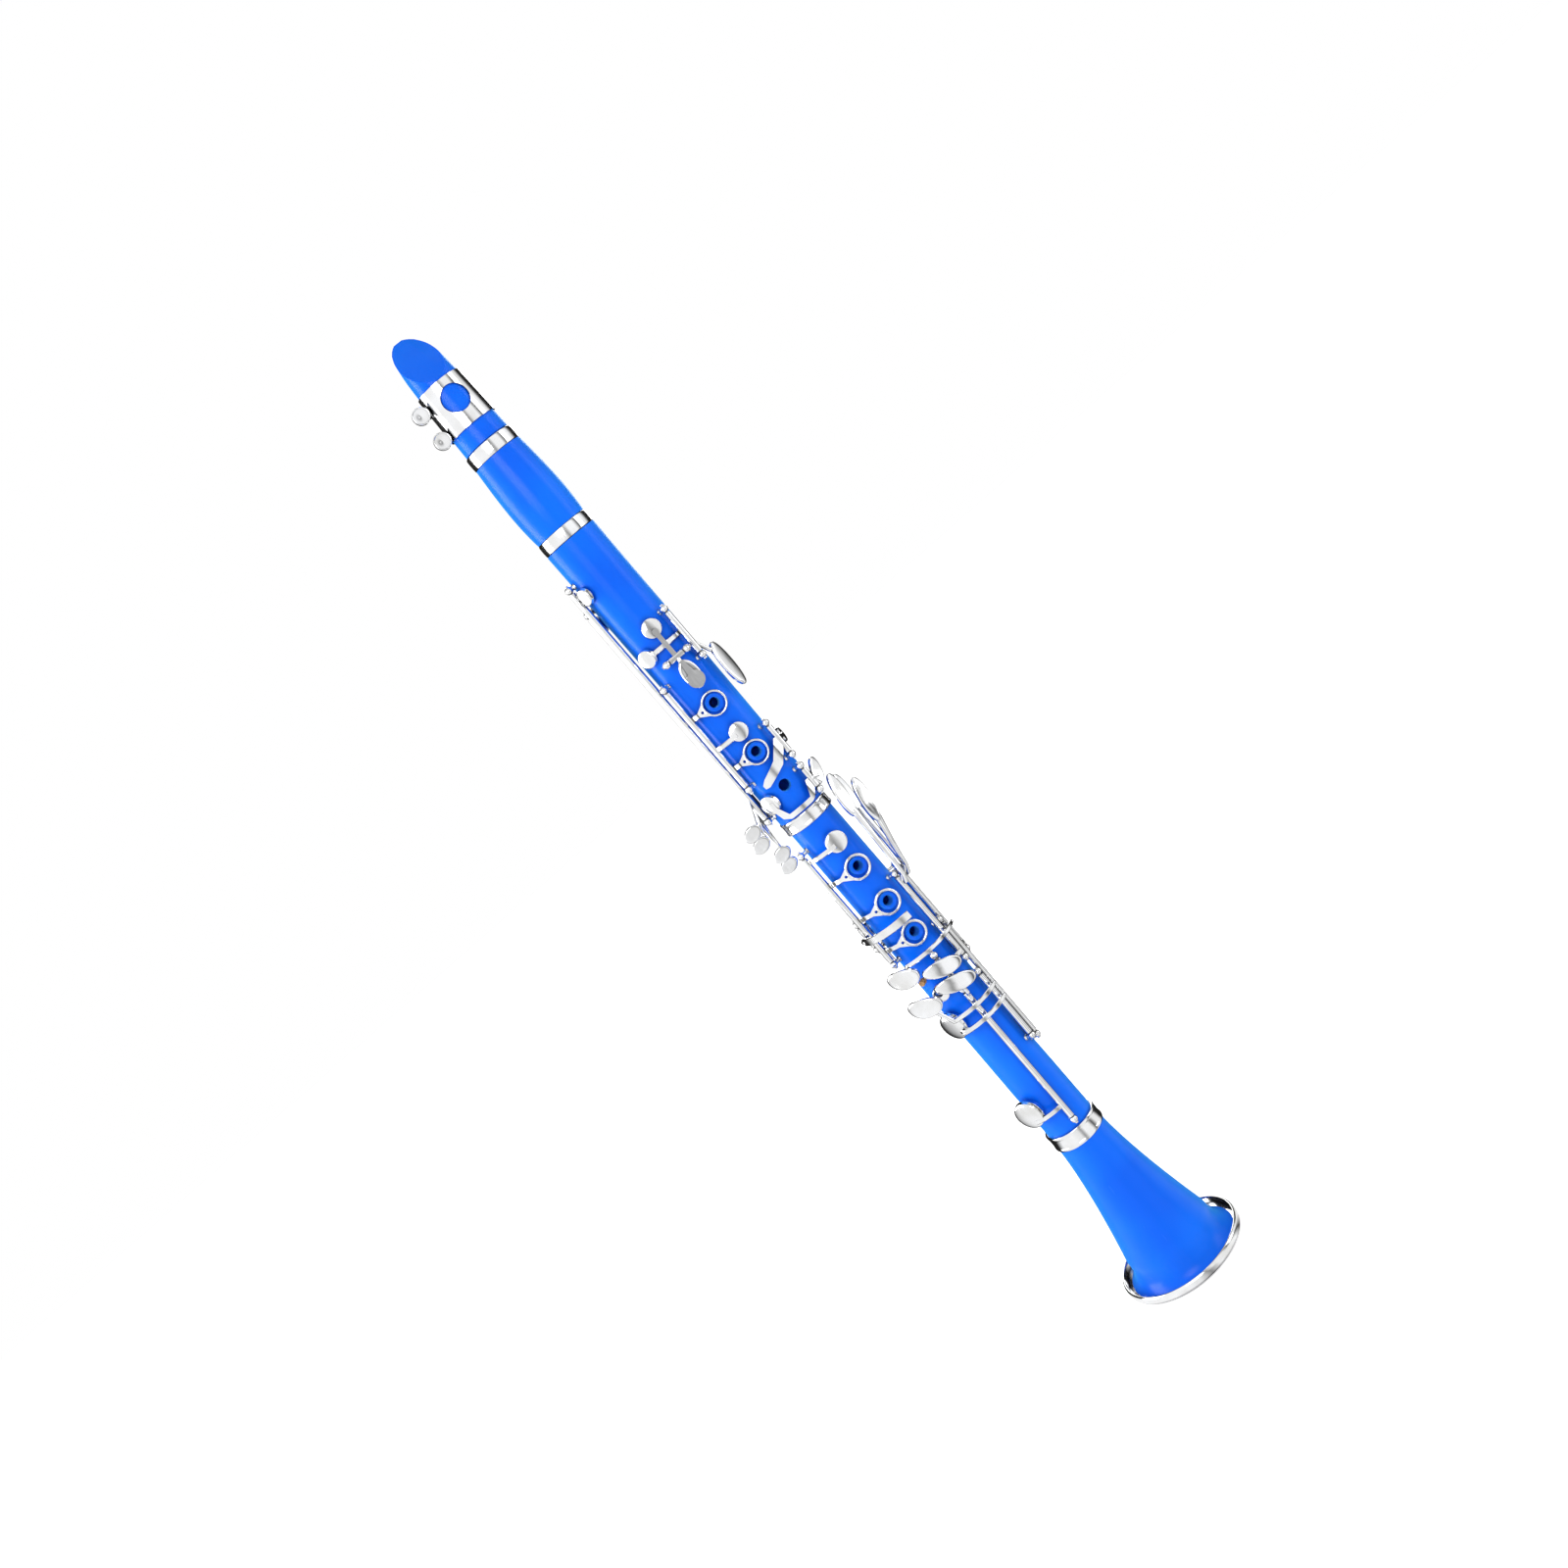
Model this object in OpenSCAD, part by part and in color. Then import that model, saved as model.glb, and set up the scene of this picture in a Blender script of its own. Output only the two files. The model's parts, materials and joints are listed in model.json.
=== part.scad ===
// Soprano clarinet in B flat, in coloured plastic with nickel-silver keys.
// The axis is Z, the bell's mouth stands on z = 0 and the mouthpiece is on top.
// The finger holes face -Y, so the player's left hand side is +X.
// Angles round the instrument start at the front (-Y) and grow towards +X.

/* [Lengths along the axis] */
// Bell, from its mouth to the top of its socket
bell_length = 107; // [100:1:115]
// Lower joint, from the bell to its top ring
lower_length = 235; // [232:1:246]
// Upper joint, from the lower joint to the barrel
upper_length = 189; // [185:1:200]
// Barrel
barrel_length = 65; // [56:1:70]
// Mouthpiece, the part that shows above the barrel
mouthpiece_length = 69; // [66:1:76]

/* [Body radii] */
// Radius of the upper joint at its top
upper_top_r = 15.8; // [15.2:0.1:16.4]
// Radius of the upper joint at its bottom
upper_bottom_r = 14.7; // [14.4:0.1:15.2]
// Radius of the lower joint at its top
lower_top_r = 13.8; // [13.5:0.1:14.4]
// Radius of the lower joint at its bottom
lower_bottom_r = 15.0; // [14.4:0.1:15.4]
// Radius of the barrel at its fullest
barrel_r = 16.4; // [15.8:0.1:17.4]
// Radius of the bell's rim
bell_rim_r = 39.5; // [38:0.5:42]
// Wall of the bell
bell_wall = 3; // [2.4:0.1:3.6]
// Radius of the air column
bore_r = 7.4; // [6.8:0.1:7.8]
// Turn of the lower joint against the upper joint
lower_turn = 6; // [0:1:8]
// Turn of the mouthpiece against the upper joint
mouthpiece_turn = 6; // [0:1:12]

/* [Tenons and sockets] */
// Radius of the bare tenons
tenon_r = 11.3; // [10.9:0.1:11.6]
// Length of the tenons
tenon_length = 18; // [14:1:20]
// Thickness of the tenon cork that stands above the groove
cork_height = 0.8; // [0.5:0.1:1]
// Space between a tenon cork and its socket
cork_gap = 0.05; // [0.03:0.01:0.1]

/* [Key work] */
// Radius of the hinge rods
rod_r = 0.95; // [0.8:0.05:1.05]
// Radius of the hinge tubes
tube_r = 1.8; // [1.7:0.05:1.95]
// Running fit between a rod and its tube
hinge_gap = 0.04; // [0.02:0.01:0.08]
// Space between the end of a tube and its post
end_gap = 0.25; // [0.15:0.05:0.4]
// Radius of the ball on a post
post_ball_r = 2.2; // [2.1:0.05:2.3]
// Height of the hinge rods above the widest end of a joint
rod_lift = 3.6; // [3.5:0.1:4.2]
// Thickness of the key pads
pad_height = 1.7; // [1.4:0.1:2]
// Space between a shut pad and its seat
pad_gap = 0.08; // [0.05:0.01:0.12]
// Height of a pad's seat above the body
seat_height = 0.7; // [0.6:0.1:0.9]
// Height of a finger hole's chimney above the body
chimney_height = 2; // [1.6:0.1:2.4]
// Thickness of the finger touches
touch_t = 1.6; // [1.2:0.1:2]

/* [Key travel in degrees] */
// Opening of the ring keys at rest
ring_open = 5; // [3:0.5:6]
// Opening of the low E key at rest
low_e_open = 8; // [6:0.5:9]
// Opening of the low F key at rest
low_f_open = 5; // [3:0.5:6]
// Opening of the low F sharp key at rest
low_fsharp_open = 9; // [7:0.5:10]
// Opening of the thumb ring at rest
thumb_open = 7; // [4:0.5:8]

/* [Hidden] */
$fn = 48;

body_blue = "#0a6cff";
nickel = "#d8dade";
cork_tan = "#b98a56";
pad_white = "#f2efe6";
cane = "#e6cf96";
steel_blue = "#33445c";

// Heights of the faces where the sections meet
z_lower = bell_length;
z_upper = z_lower + lower_length;
z_barrel = z_upper + upper_length;
z_mouth = z_barrel + barrel_length;
z_tip = z_mouth + mouthpiece_length;

// Small fits
face_gap = 0.1;          // between the end faces of sections that slide or turn
seat_gap = 0.05;         // between fixed pieces that are seated in each other
socket_r = tenon_r + cork_height + cork_gap;
cork_bed = 0.8;          // depth of the groove that a cork lies in
cork_margin = 2.5;       // plain tenon at both ends of a cork
rod_end = 0.5;           // how far a rod shows beyond its post

// Rings of the body
socket_ring_h = 10;
rim_ring_h = 5.5;
joint_ring_h = 7.5;
joint_ring_t = 1.5;
barrel_top_ring_h = 8;
barrel_bottom_ring_h = 7.5;

upper_rho = upper_top_r + rod_lift;
lower_rho = lower_bottom_r + rod_lift + 0.3;

// Radius of each joint's outside at height z
function upper_r(z) = upper_bottom_r + (upper_top_r - upper_bottom_r) * (z - z_upper) / upper_length;
function lower_r(z) = lower_bottom_r + (lower_top_r - lower_bottom_r) * (z - z_lower) / lower_length;
function body_r(z) = z > z_upper ? upper_r(z) : lower_r(z);

// Hinge lines along the body: [angle, height of the lower post, height of the upper post, distance from the axis]
function upper_line(a, h0, h1) = [a, z_upper + h0, z_upper + h1, upper_rho];
function lower_line(a, h0, h1) = [a, z_lower + h0, z_lower + h1, lower_rho];

gsharp_line = upper_line(38, 99, 130);
side_lines = [upper_line(-76, 7, 169), upper_line(-90, 7, 153), upper_line(-104, 7, 66), upper_line(-118, 7, 45)];
ring_line = upper_line(-55, 28, 97.5);
eflat_line = upper_line(45, 27.5, 49.5);
csharp_line = upper_line(42, 3.6, 20);
thumb_line = upper_line(145, 65, 94);
upper_lines = concat(side_lines, [gsharp_line, ring_line, eflat_line, csharp_line, thumb_line]);

lower_ring_line = lower_line(-78, 136.5, 216);
b_sliver_line = lower_line(-98, 147.5, 165.5);
left_fsharp_line = lower_line(41, 115, 176);
left_f_line = lower_line(73, 115, 176);
left_e_line = lower_line(89, 115, 176);
low_e_line = lower_line(-4, 6, 104);
low_fsharp_line = lower_line(-4, 104, 129);
low_f_line = lower_line(41, 56, 104);
aflat_line = lower_line(57, 53, 139);
lower_lines = [lower_ring_line, b_sliver_line, left_fsharp_line, left_f_line, left_e_line, low_e_line,
    low_fsharp_line, low_f_line, aflat_line];

// Cross hinges: [angle of the key, height of the hinge]
throat_a_hinge = [0, z_upper + 107];
register_hinge = [180, z_upper + 121];
cross_rho = upper_rho + 1.4;
cross_half = 6.8;        // half the distance between the two posts

// Finger holes with a chimney: [height, angle]
ring_holes = [[z_upper + 75.7, 0], [z_upper + 41.5, 0]];
thumb_hole = [z_upper + 79, 180];
lower_ring_holes = [[z_lower + 193.3, 0], [z_lower + 167.9, 0], [z_lower + 145.3, 0]];
bare_hole = [z_upper + 17.5, 0];
finger_hole_r = 2.9;
chimney_r = 4.9;
ring_in_r = 6;
upper_ring_out_r = 7.1;
lower_ring_out_r = 7.4;

// Padded holes: [height, angle, radius of the cup, radius of the hole]
throat_a_hole = [z_upper + 126.6, 0, 5.3, 2.6];
gsharp_hole = [z_upper + 115.6, -41, 5, 2.4];
side_holes = [[z_upper + 161, -56, 4.8, 2.2], [z_upper + 145, -110, 4.8, 2.2],
    [z_upper + 58, -126, 4.9, 2.4], [z_upper + 36, -141, 4.9, 2.6]];
vent_hole = [z_upper + 56, 0, 5.2, 2.6];
eflat_hole = [z_upper + 38, 76, 4.6, 2.2];
csharp_hole = [z_upper + 14, -47, 5.6, 2.8];
register_hole = [z_upper + 139, 180, 3.6, 1];
lower_vent_hole = [z_lower + 211.8, 0, 6, 3];
b_sliver_hole = [z_lower + 156.5, -127, 4.6, 2.2];
low_e_hole = [z_lower + 22, -65, 8.6, 5.4];
low_f_hole = [z_lower + 89, -69, 8.3, 5.2];
low_fsharp_hole = [z_lower + 109.5, -38, 4.6, 2.6];
aflat_hole = [z_lower + 61, 101, 5.6, 3];
upper_pad_holes = concat(side_holes, [throat_a_hole, gsharp_hole, vent_hole, eflat_hole, csharp_hole]);
lower_pad_holes = [lower_vent_hole, b_sliver_hole, low_e_hole, low_f_hole, low_fsharp_hole, aflat_hole];

cup_wall = 0.5;
cup_top = 0.9;
cup_dome = 0.8;
seat_r_extra = 1.4;      // width of a pad's seat round its hole
arm_t = 1.5;             // thickness of an arm that follows the body
arm_w = 2.6;             // width of such an arm
arm_lift = 3;            // height of an arm's middle above the body, where it meets a cup
arm_bite = 2;            // angle by which an arm runs past the middle of its hinge tube

// Places children at height z and angle a, r from the axis, with their z pointing outwards
module on_body(z, a, r) {
    rotate([0, 0, a]) translate([0, -r, z]) rotate([90, 0, 0]) children();
}

function line_xy(line) = [line[3] * sin(line[0]), -line[3] * cos(line[0]), 0];
// A point at height z on a hinge line
function line_at(line, z) = line_xy(line) + [0, 0, z];
// A point at angle a, distance r from the axis and height z
function round_at(a, r, z) = [r * sin(a), -r * cos(a), z];

// Turns children about a hinge line
module turned(line, angle) {
    translate(line_xy(line)) rotate([0, 0, angle]) translate(-line_xy(line)) children();
}

// A round bar between two points, with ball ends
module strut(p, q, r) {
    run = q - p;
    translate(p) rotate([0, acos(run[2] / norm(run)), atan2(run[1], run[0])]) {
        cylinder(r = r, h = norm(run));
        for (end = [0, norm(run)]) translate([0, 0, end]) sphere(r = r);
    }
}

// A bent bar through several points
module bent_bar(points, r) {
    for (i = [1:len(points) - 1]) {
        run = points[i] - points[i - 1];
        last = i == len(points) - 1;
        translate(points[i - 1]) rotate([0, acos(run[2] / norm(run)), atan2(run[1], run[0])]) {
            cylinder(r = r, h = norm(run) - (last ? 0 : r * 0.1));
            sphere(r = i == 1 ? r : r * 1.02);
            if (last) translate([0, 0, norm(run)]) sphere(r = r);
        }
    }
}

// An arm that follows the body from angle a0 to angle a1, rho from the axis at its middle
module arc_arm(z, a0, a1, rho, w = arm_w, t = arm_t) {
    edge = 0.35;
    rotate([0, 0, min(a0, a1) - 90]) rotate_extrude(angle = abs(a1 - a0), $fn = 96)
        translate([rho, z]) polygon([[-t / 2, -w / 2], [t / 2 - edge, -w / 2], [t / 2, edge - w / 2],
            [t / 2, w / 2 - edge], [t / 2 - edge, w / 2], [-t / 2, w / 2]]);
}

// A flat outline wrapped on the body: children are drawn as seen from angle a, with y along the axis
module wrapped(a, rho, t) {
    intersection() {
        difference() {
            cylinder(r = rho + t / 2, h = z_tip, $fn = 96);
            translate([0, 0, -1]) cylinder(r = rho - t / 2, h = z_tip + 2, $fn = 96);
        }
        rotate([0, 0, a]) rotate([90, 0, 0]) linear_extrude(height = 60) children();
    }
}

// An oval outline, fuller than an ellipse
module oval(len, wid) {
    fullness = 2.3;
    points = 40;
    polygon([for (i = [0:points - 1]) let (c = cos(i * 360 / points), s = sin(i * 360 / points))
        [sign(c) * pow(abs(c), 2 / fullness) * len / 2, sign(s) * pow(abs(s), 2 / fullness) * wid / 2]]);
}

// A finger touch at point p that faces angle a: an oval plate, bent about a line along the axis
module touch_plate(p, a, len, wid, tilt = 0, bend = 24) {
    translate(p) rotate([0, 0, a]) rotate([90, 0, 0]) intersection() {
        translate([0, 0, -bend]) rotate([90, 0, 0]) difference() {
            cylinder(r = bend + touch_t / 2, h = 60, center = true, $fn = 96);
            cylinder(r = bend - touch_t / 2, h = 62, center = true, $fn = 96);
        }
        rotate([0, 0, tilt]) linear_extrude(height = 16, center = true) oval(len, wid);
    }
}

// The bore of a hinge tube, cut from a whole key
module hinge_bore(line) {
    translate(line_at(line, line[1] - 10))
        cylinder(r = rod_r + hinge_gap, h = line[2] - line[1] + 20);
}

// The hinge tube of a key, from post to post
module hinge_tube(line) {
    bottom = line[1] + post_ball_r + end_gap;
    top = line[2] - post_ball_r - end_gap;
    translate(line_at(line, bottom)) cylinder(r = tube_r, h = top - bottom);
}

// The height of a pad's seat above the axis
function seat_r(hole) = body_r(hole[0]) + seat_height;
function pad_face_r(hole) = seat_r(hole) + pad_gap;
function cup_top_r(hole) = pad_face_r(hole) + pad_height + cup_top;

// A pad cup over a hole, in its shut place
module cup(hole) {
    lip = 0.6;
    r = hole[2];
    on_body(hole[0], hole[1], pad_face_r(hole) + pad_height + seat_gap) {
        difference() {
            translate([0, 0, -pad_height + lip]) cylinder(r = r, h = pad_height + cup_top - lip - seat_gap);
            translate([0, 0, -pad_height - 1]) cylinder(r = r - cup_wall, h = pad_height + 1);
        }
        translate([0, 0, cup_top - seat_gap]) cylinder(r1 = r, r2 = r * 0.55, h = cup_dome);
    }
}

// The pad inside a cup, in its shut place
module pad(hole) {
    bulge = 0.3;
    r = hole[2] - cup_wall - seat_gap;
    on_body(hole[0], hole[1], pad_face_r(hole)) {
        cylinder(r1 = r - bulge, r2 = r, h = bulge);
        translate([0, 0, bulge]) cylinder(r = r, h = pad_height - bulge);
    }
}

// An arm from a hinge line to a cup, bent round the body over the top of the cup
module cup_arm(line, hole, z) {
    side = sign(line[0] - hole[1]);
    half_chord = sqrt(pow(hole[2] - cup_wall, 2) - pow(z - hole[0], 2));
    clear_r = norm([pad_face_r(hole) + pad_height + 0.12, half_chord]);
    arc_arm(z, line[0] + side * arm_bite, hole[1] + side * 6, max(body_r(hole[0]) + arm_lift, clear_r) + arm_t / 2);
}

// The finger ring round a chimney, with the forked web that joins it to its arm
module finger_ring(line, hole, out_r) {
    ring_h = 1.5;
    z = hole[0];
    top = body_r(z) + chimney_height;
    side = sign(line[0]);
    reach = line[3] * sin(abs(line[0]));
    stem = 1.2;
    on_body(z, hole[1], top - ring_h) rotate_extrude()
        translate([ring_in_r, 0]) polygon([[0.2, 0], [out_r - ring_in_r - 0.2, 0], [out_r - ring_in_r, 0.3],
            [out_r - ring_in_r, ring_h - 0.3], [out_r - ring_in_r - 0.3, ring_h], [0.3, ring_h],
            [0, ring_h - 0.3], [0, 0.2]]);
    wrapped(hole[1], top + 0.4, 1.3) translate([0, z]) difference() {
        polygon([[side * 3, out_r - 1.5], [side * (out_r + 3.5), stem], [side * (reach - 0.4), stem],
            [side * (reach - 0.4), -stem], [side * (out_r + 3.5), -stem], [side * 3, 1.5 - out_r]]);
        circle(r = ring_in_r + 0.55);
        translate([side * (out_r + 0.9), 0]) circle(r = 0.8);
    }
    arc_arm(z, line[0] + side * arm_bite, line[0] - side * 18, line[3] - 1.3, w = 2 * stem + 0.5);
}

// A key: children without the bore of their hinge tube, turned open by angle
module key(line, angle = 0) {
    color(nickel) turned(line, angle) difference() {
        union() {
            hinge_tube(line);
            children();
        }
        hinge_bore(line);
    }
}

// ---- body ----

// A tenon that points down from z, or up when up is true, with the groove for its cork
module tenon(z, up = false) {
    translate([0, 0, z]) mirror([0, 0, up ? 0 : 1]) rotate_extrude() polygon([[0, 0], [tenon_r, 0],
        [tenon_r, cork_margin], [tenon_r - cork_bed, cork_margin], [tenon_r - cork_bed, tenon_length - cork_margin],
        [tenon_r, tenon_length - cork_margin], [tenon_r, tenon_length - 0.5],
        [tenon_r - 0.5, tenon_length], [0, tenon_length]]);
}

// The cork of a tenon
module tenon_cork(z, up = false) {
    inner = tenon_r - cork_bed + seat_gap;
    outer = tenon_r + cork_height;
    length = tenon_length - 2 * cork_margin - 2 * seat_gap;
    color(cork_tan) translate([0, 0, z]) mirror([0, 0, up ? 0 : 1]) translate([0, 0, cork_margin + seat_gap])
        rotate_extrude() polygon([[inner, 0], [outer - 0.3, 0], [outer, 0.3], [outer, length - 0.3],
            [outer - 0.3, length], [inner, length]]);
}

// The socket that a tenon goes into, below z or above it
module socket(z, up = false) {
    translate([0, 0, z]) mirror([0, 0, up ? 0 : 1]) translate([0, 0, -1])
        cylinder(r = socket_r, h = tenon_length + 1.5);
}

// A post on the body with its ball at distance rho from the axis; cross posts carry a rod across the body
post_stem_r = 1.3;
post_depth = 3;
module post(z, a, rho, cross = false) {
    base = body_r(z);
    on_body(z, a, 0) difference() {
        union() {
            translate([0, 0, base - post_depth]) cylinder(r = post_stem_r, h = rho - base + post_depth);
            translate([0, 0, base + seat_gap]) cylinder(r1 = 1.75, r2 = 1.4, h = 1);
            translate([0, 0, rho]) rotate(cross ? [0, 90 - a, 0] : [90, 0, 0]) sphere(r = post_ball_r);
        }
        translate([0, 0, rho]) rotate(cross ? [0, 90 - a, 0] : [90, 0, 0])
            cylinder(r = rod_r + 0.02, h = 12, center = true);
    }
}

// The hole in the body for a post's stem
module post_hole(z, a) {
    on_body(z, a, body_r(z) - post_depth - seat_gap) cylinder(r = post_stem_r + seat_gap, h = 8);
}

// The seat that a pad shuts on
module seat(hole) {
    on_body(hole[0], hole[1], body_r(hole[0]) - 2) cylinder(r = hole[3] + seat_r_extra, h = 2 + seat_height);
}
// The opening of a padded hole
module seat_opening(hole) {
    on_body(hole[0], hole[1], bore_r - 1) cylinder(r = hole[3], h = 20);
}
module chimney(hole) {
    on_body(hole[0], hole[1], body_r(hole[0]) - 3) cylinder(r = chimney_r, h = 3 + chimney_height);
}
// A finger hole with a hollowed top that guides the finger
module finger_opening(hole, top) {
    on_body(hole[0], hole[1], bore_r - 1) cylinder(r = finger_hole_r, h = 20);
    on_body(hole[0], hole[1], body_r(hole[0]) + top - 1.1) cylinder(r1 = finger_hole_r, r2 = chimney_r - 0.4, h = 1.15);
}

module upper_joint() {
    holes = concat(ring_holes, [thumb_hole]);
    color(body_blue) difference() {
        union() {
            translate([0, 0, z_upper + seat_gap])
                cylinder(r1 = upper_bottom_r, r2 = upper_top_r, h = upper_length - seat_gap, $fn = 96);
            tenon(z_upper + seat_gap);
            tenon(z_barrel, up = true);
            for (hole = upper_pad_holes) seat(hole);
            for (hole = holes) chimney(hole);
        }
        translate([0, 0, z_upper - tenon_length - 1]) cylinder(r = bore_r, h = upper_length + 2 * tenon_length + 2);
        for (hole = upper_pad_holes) seat_opening(hole);
        for (hole = holes) finger_opening(hole, chimney_height);
        finger_opening(bare_hole, 0);
        on_body(bare_hole[0], 0, bore_r - 1) cylinder(r = finger_hole_r + 0.5, h = 20);
        on_body(register_hole[0], register_hole[1], bore_r - 1) cylinder(r = register_tube_r + seat_gap, h = 20);
        for (line = upper_lines) for (z = [line[1], line[2]]) post_hole(z, line[0]);
        for (hinge = [throat_a_hinge, register_hinge]) for (side = [-1, 1])
            post_hole(hinge[1], hinge[0] + side * cross_angle);
    }
}

module lower_joint() {
    color(body_blue) rotate([0, 0, lower_turn]) difference() {
        union() {
            translate([0, 0, z_lower + seat_gap])
                cylinder(r1 = lower_bottom_r, r2 = lower_top_r, h = lower_length - seat_gap, $fn = 96);
            tenon(z_lower + seat_gap);
            for (hole = lower_pad_holes) seat(hole);
            for (hole = lower_ring_holes) chimney(hole);
        }
        translate([0, 0, z_lower - tenon_length - 1]) cylinder(r = bore_r, h = lower_length + tenon_length + 2);
        socket(z_upper);
        for (hole = lower_pad_holes) seat_opening(hole);
        for (hole = lower_ring_holes) finger_opening(hole, chimney_height);
        for (line = lower_lines) for (z = [line[1], line[2]]) post_hole(z, line[0]);
        for (z = thumb_rest_screw_z) on_body(z, 180, lower_r(z) - 4) cylinder(r = rest_screw_r + seat_gap, h = 8);
    }
}

// Half the angle between the posts of a cross hinge
cross_angle = atan(cross_half / cross_rho);

module cross_posts(hinge) {
    for (side = [-1, 1]) rotate([0, 0, hinge[0]])
        post(hinge[1], side * cross_angle, norm([cross_half, cross_rho]), cross = true);
}

module upper_posts() {
    color(nickel) {
        for (line = upper_lines) for (z = [line[1], line[2]]) post(z, line[0], line[3]);
        for (hinge = [throat_a_hinge, register_hinge]) cross_posts(hinge);
    }
}

// The rod of a hinge line, with a slot in its upper end
module rod(line) {
    bottom = line[1] - post_ball_r - rod_end;
    length = line[2] - line[1] + 2 * (post_ball_r + rod_end);
    translate(line_at(line, bottom)) difference() {
        cylinder(r = rod_r, h = length);
        translate([0, 0, length]) cube([0.4, 4, 0.8], center = true);
    }
}

module cross_rod(hinge) {
    rotate([0, 0, hinge[0]]) translate([0, -cross_rho, hinge[1]]) rotate([0, 90, 0])
        cylinder(r = rod_r, h = 2 * (cross_half + post_ball_r + rod_end), center = true);
}

module upper_rods() {
    color(nickel) {
        for (line = upper_lines) rod(line);
        for (hinge = [throat_a_hinge, register_hinge]) cross_rod(hinge);
    }
}

// Hinge lines of the lower joint that end at the same post share it
module lower_posts() {
    color(nickel) rotate([0, 0, lower_turn]) for (line = lower_lines) {
        if (line != low_fsharp_line) post(line[1], line[0], line[3]);
        post(line[2], line[0], line[3]);
    }
}

module lower_rods() {
    color(nickel) rotate([0, 0, lower_turn]) for (line = lower_lines)
        if (line == low_e_line) rod([line[0], line[1], low_fsharp_line[2], line[3]]);
        else if (line != low_fsharp_line) rod(line);
}

// Thin steel springs that run from a post along the inner side of a hinge tube
spring_r = 0.3;
module needle_spring(line, length) {
    inner = tube_r + spring_r + 0.35;
    translate(round_at(line[0], line[3] - inner, line[1] + post_stem_r + 0.02))
        cylinder(r = spring_r, h = length, $fn = 16);
}
module needle_springs() {
    color(steel_blue) {
        for (i = [0:3]) needle_spring(side_lines[i], 16);
        for (line = [gsharp_line, ring_line, eflat_line]) needle_spring(line, 9);
        needle_spring(thumb_line, 8);
        rotate([0, 0, lower_turn]) {
            for (line = [left_fsharp_line, left_f_line, left_e_line]) needle_spring(line, 14);
            for (line = [low_f_line, aflat_line]) needle_spring(line, 12);
            for (line = [lower_ring_line, b_sliver_line]) needle_spring(line, 6);
        }
    }
}

// Outline of the bell's outside, from the socket to the rim
bell_throat_r = 15.6;
bell_top_r = 15.2;
lip_z = 17;              // where the lip starts
lip_r = 28.2;
function bell_outside(z) = z > lip_z
    ? bell_throat_r + (lip_r - bell_throat_r) * pow((z_lower - socket_ring_h - z) / (z_lower - socket_ring_h - lip_z), 1.45)
    : lip_r + (bell_rim_r - 1.3 - lip_r) * (1 - sqrt(1 - pow((lip_z - z) / lip_z, 2.6))) ;
peg_bore_r = 11;
peg_bore_bottom = 66;    // the round throat of the bell, which a stand's peg goes into
lip_in_r = lip_r - bell_wall;
function bell_inside(z) = z > lip_z
    ? peg_bore_r + (lip_in_r - peg_bore_r) * pow((peg_bore_bottom - z) / (peg_bore_bottom - lip_z), 1.15)
    : lip_in_r + (bell_rim_r - 3 - lip_in_r) * (1 - sqrt(1 - pow((lip_z - z) / lip_z, 2.6)));

module bell() {
    steps = 26;
    lip_steps = 12;
    top = z_lower - socket_ring_h;
    outside = concat([for (i = [0:steps - 1]) let (z = top - (top - lip_z) * i / steps) [bell_outside(z), z]],
        [for (i = [0:lip_steps]) let (z = lip_z * (1 - i / lip_steps)) [bell_outside(max(z, 0.6)), max(z, 0.6)]]);
    inside = concat([for (i = [0:lip_steps]) let (z = lip_z * i / lip_steps) [bell_inside(max(z, 0.6)), max(z, 0.6)]],
        [for (i = [1:steps]) let (z = lip_z + (peg_bore_bottom - lip_z) * i / steps) [bell_inside(z), z]]);
    color(body_blue) difference() {
        rotate_extrude($fn = 128) polygon(concat([[bell_top_r, z_lower], [bell_top_r, top]], outside,
            inside, [[peg_bore_r, z_lower]]));
        socket(z_lower);
    }
}

module bell_socket_ring() {
    top = z_lower;
    bottom = top - socket_ring_h + seat_gap;
    inner = bell_top_r + seat_gap;
    color(nickel) rotate_extrude($fn = 96) polygon([[inner, bottom], [16.1, bottom], [16.6, bottom + 0.8],
        [16.3, bottom + 3], [16.3, top - 2.4], [16.7, top - 1.2], [16.3, top], [inner, top]]);
}

module bell_rim_ring() {
    inner = bell_rim_r - 1.3;
    color(nickel) rotate_extrude($fn = 128) polygon(concat(
        [[bell_rim_r - 4.4, 0], [bell_rim_r - 0.9, 0]],
        [for (a = [-60:20:60]) [bell_rim_r - 0.9 + 0.9 * cos(a), rim_ring_h / 2 + (rim_ring_h / 2 - 0.3) * sin(a)]],
        [[bell_rim_r - 0.9, rim_ring_h], [inner + 0.1, rim_ring_h - 0.2], [inner + 0.1, 0.55],
            [bell_rim_r - 4.4, 0.55]]));
}

module lower_joint_ring() {
    inner = lower_top_r + seat_gap;
    bottom = z_upper - joint_ring_h;
    color(nickel) rotate_extrude($fn = 96) polygon([[inner + 0.05, bottom], [inner + joint_ring_t - 0.4, bottom],
        [inner + joint_ring_t, bottom + 0.8], [inner + joint_ring_t - 0.3, bottom + 2],
        [inner + joint_ring_t - 0.3, z_upper - 2], [inner + joint_ring_t, z_upper - 0.9],
        [inner + joint_ring_t - 0.4, z_upper], [inner, z_upper]]);
}

module body_corks() {
    tenon_cork(z_lower + seat_gap);
    tenon_cork(z_upper + seat_gap);
    tenon_cork(z_barrel, up = true);
}

// ---- barrel and mouthpiece ----

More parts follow.
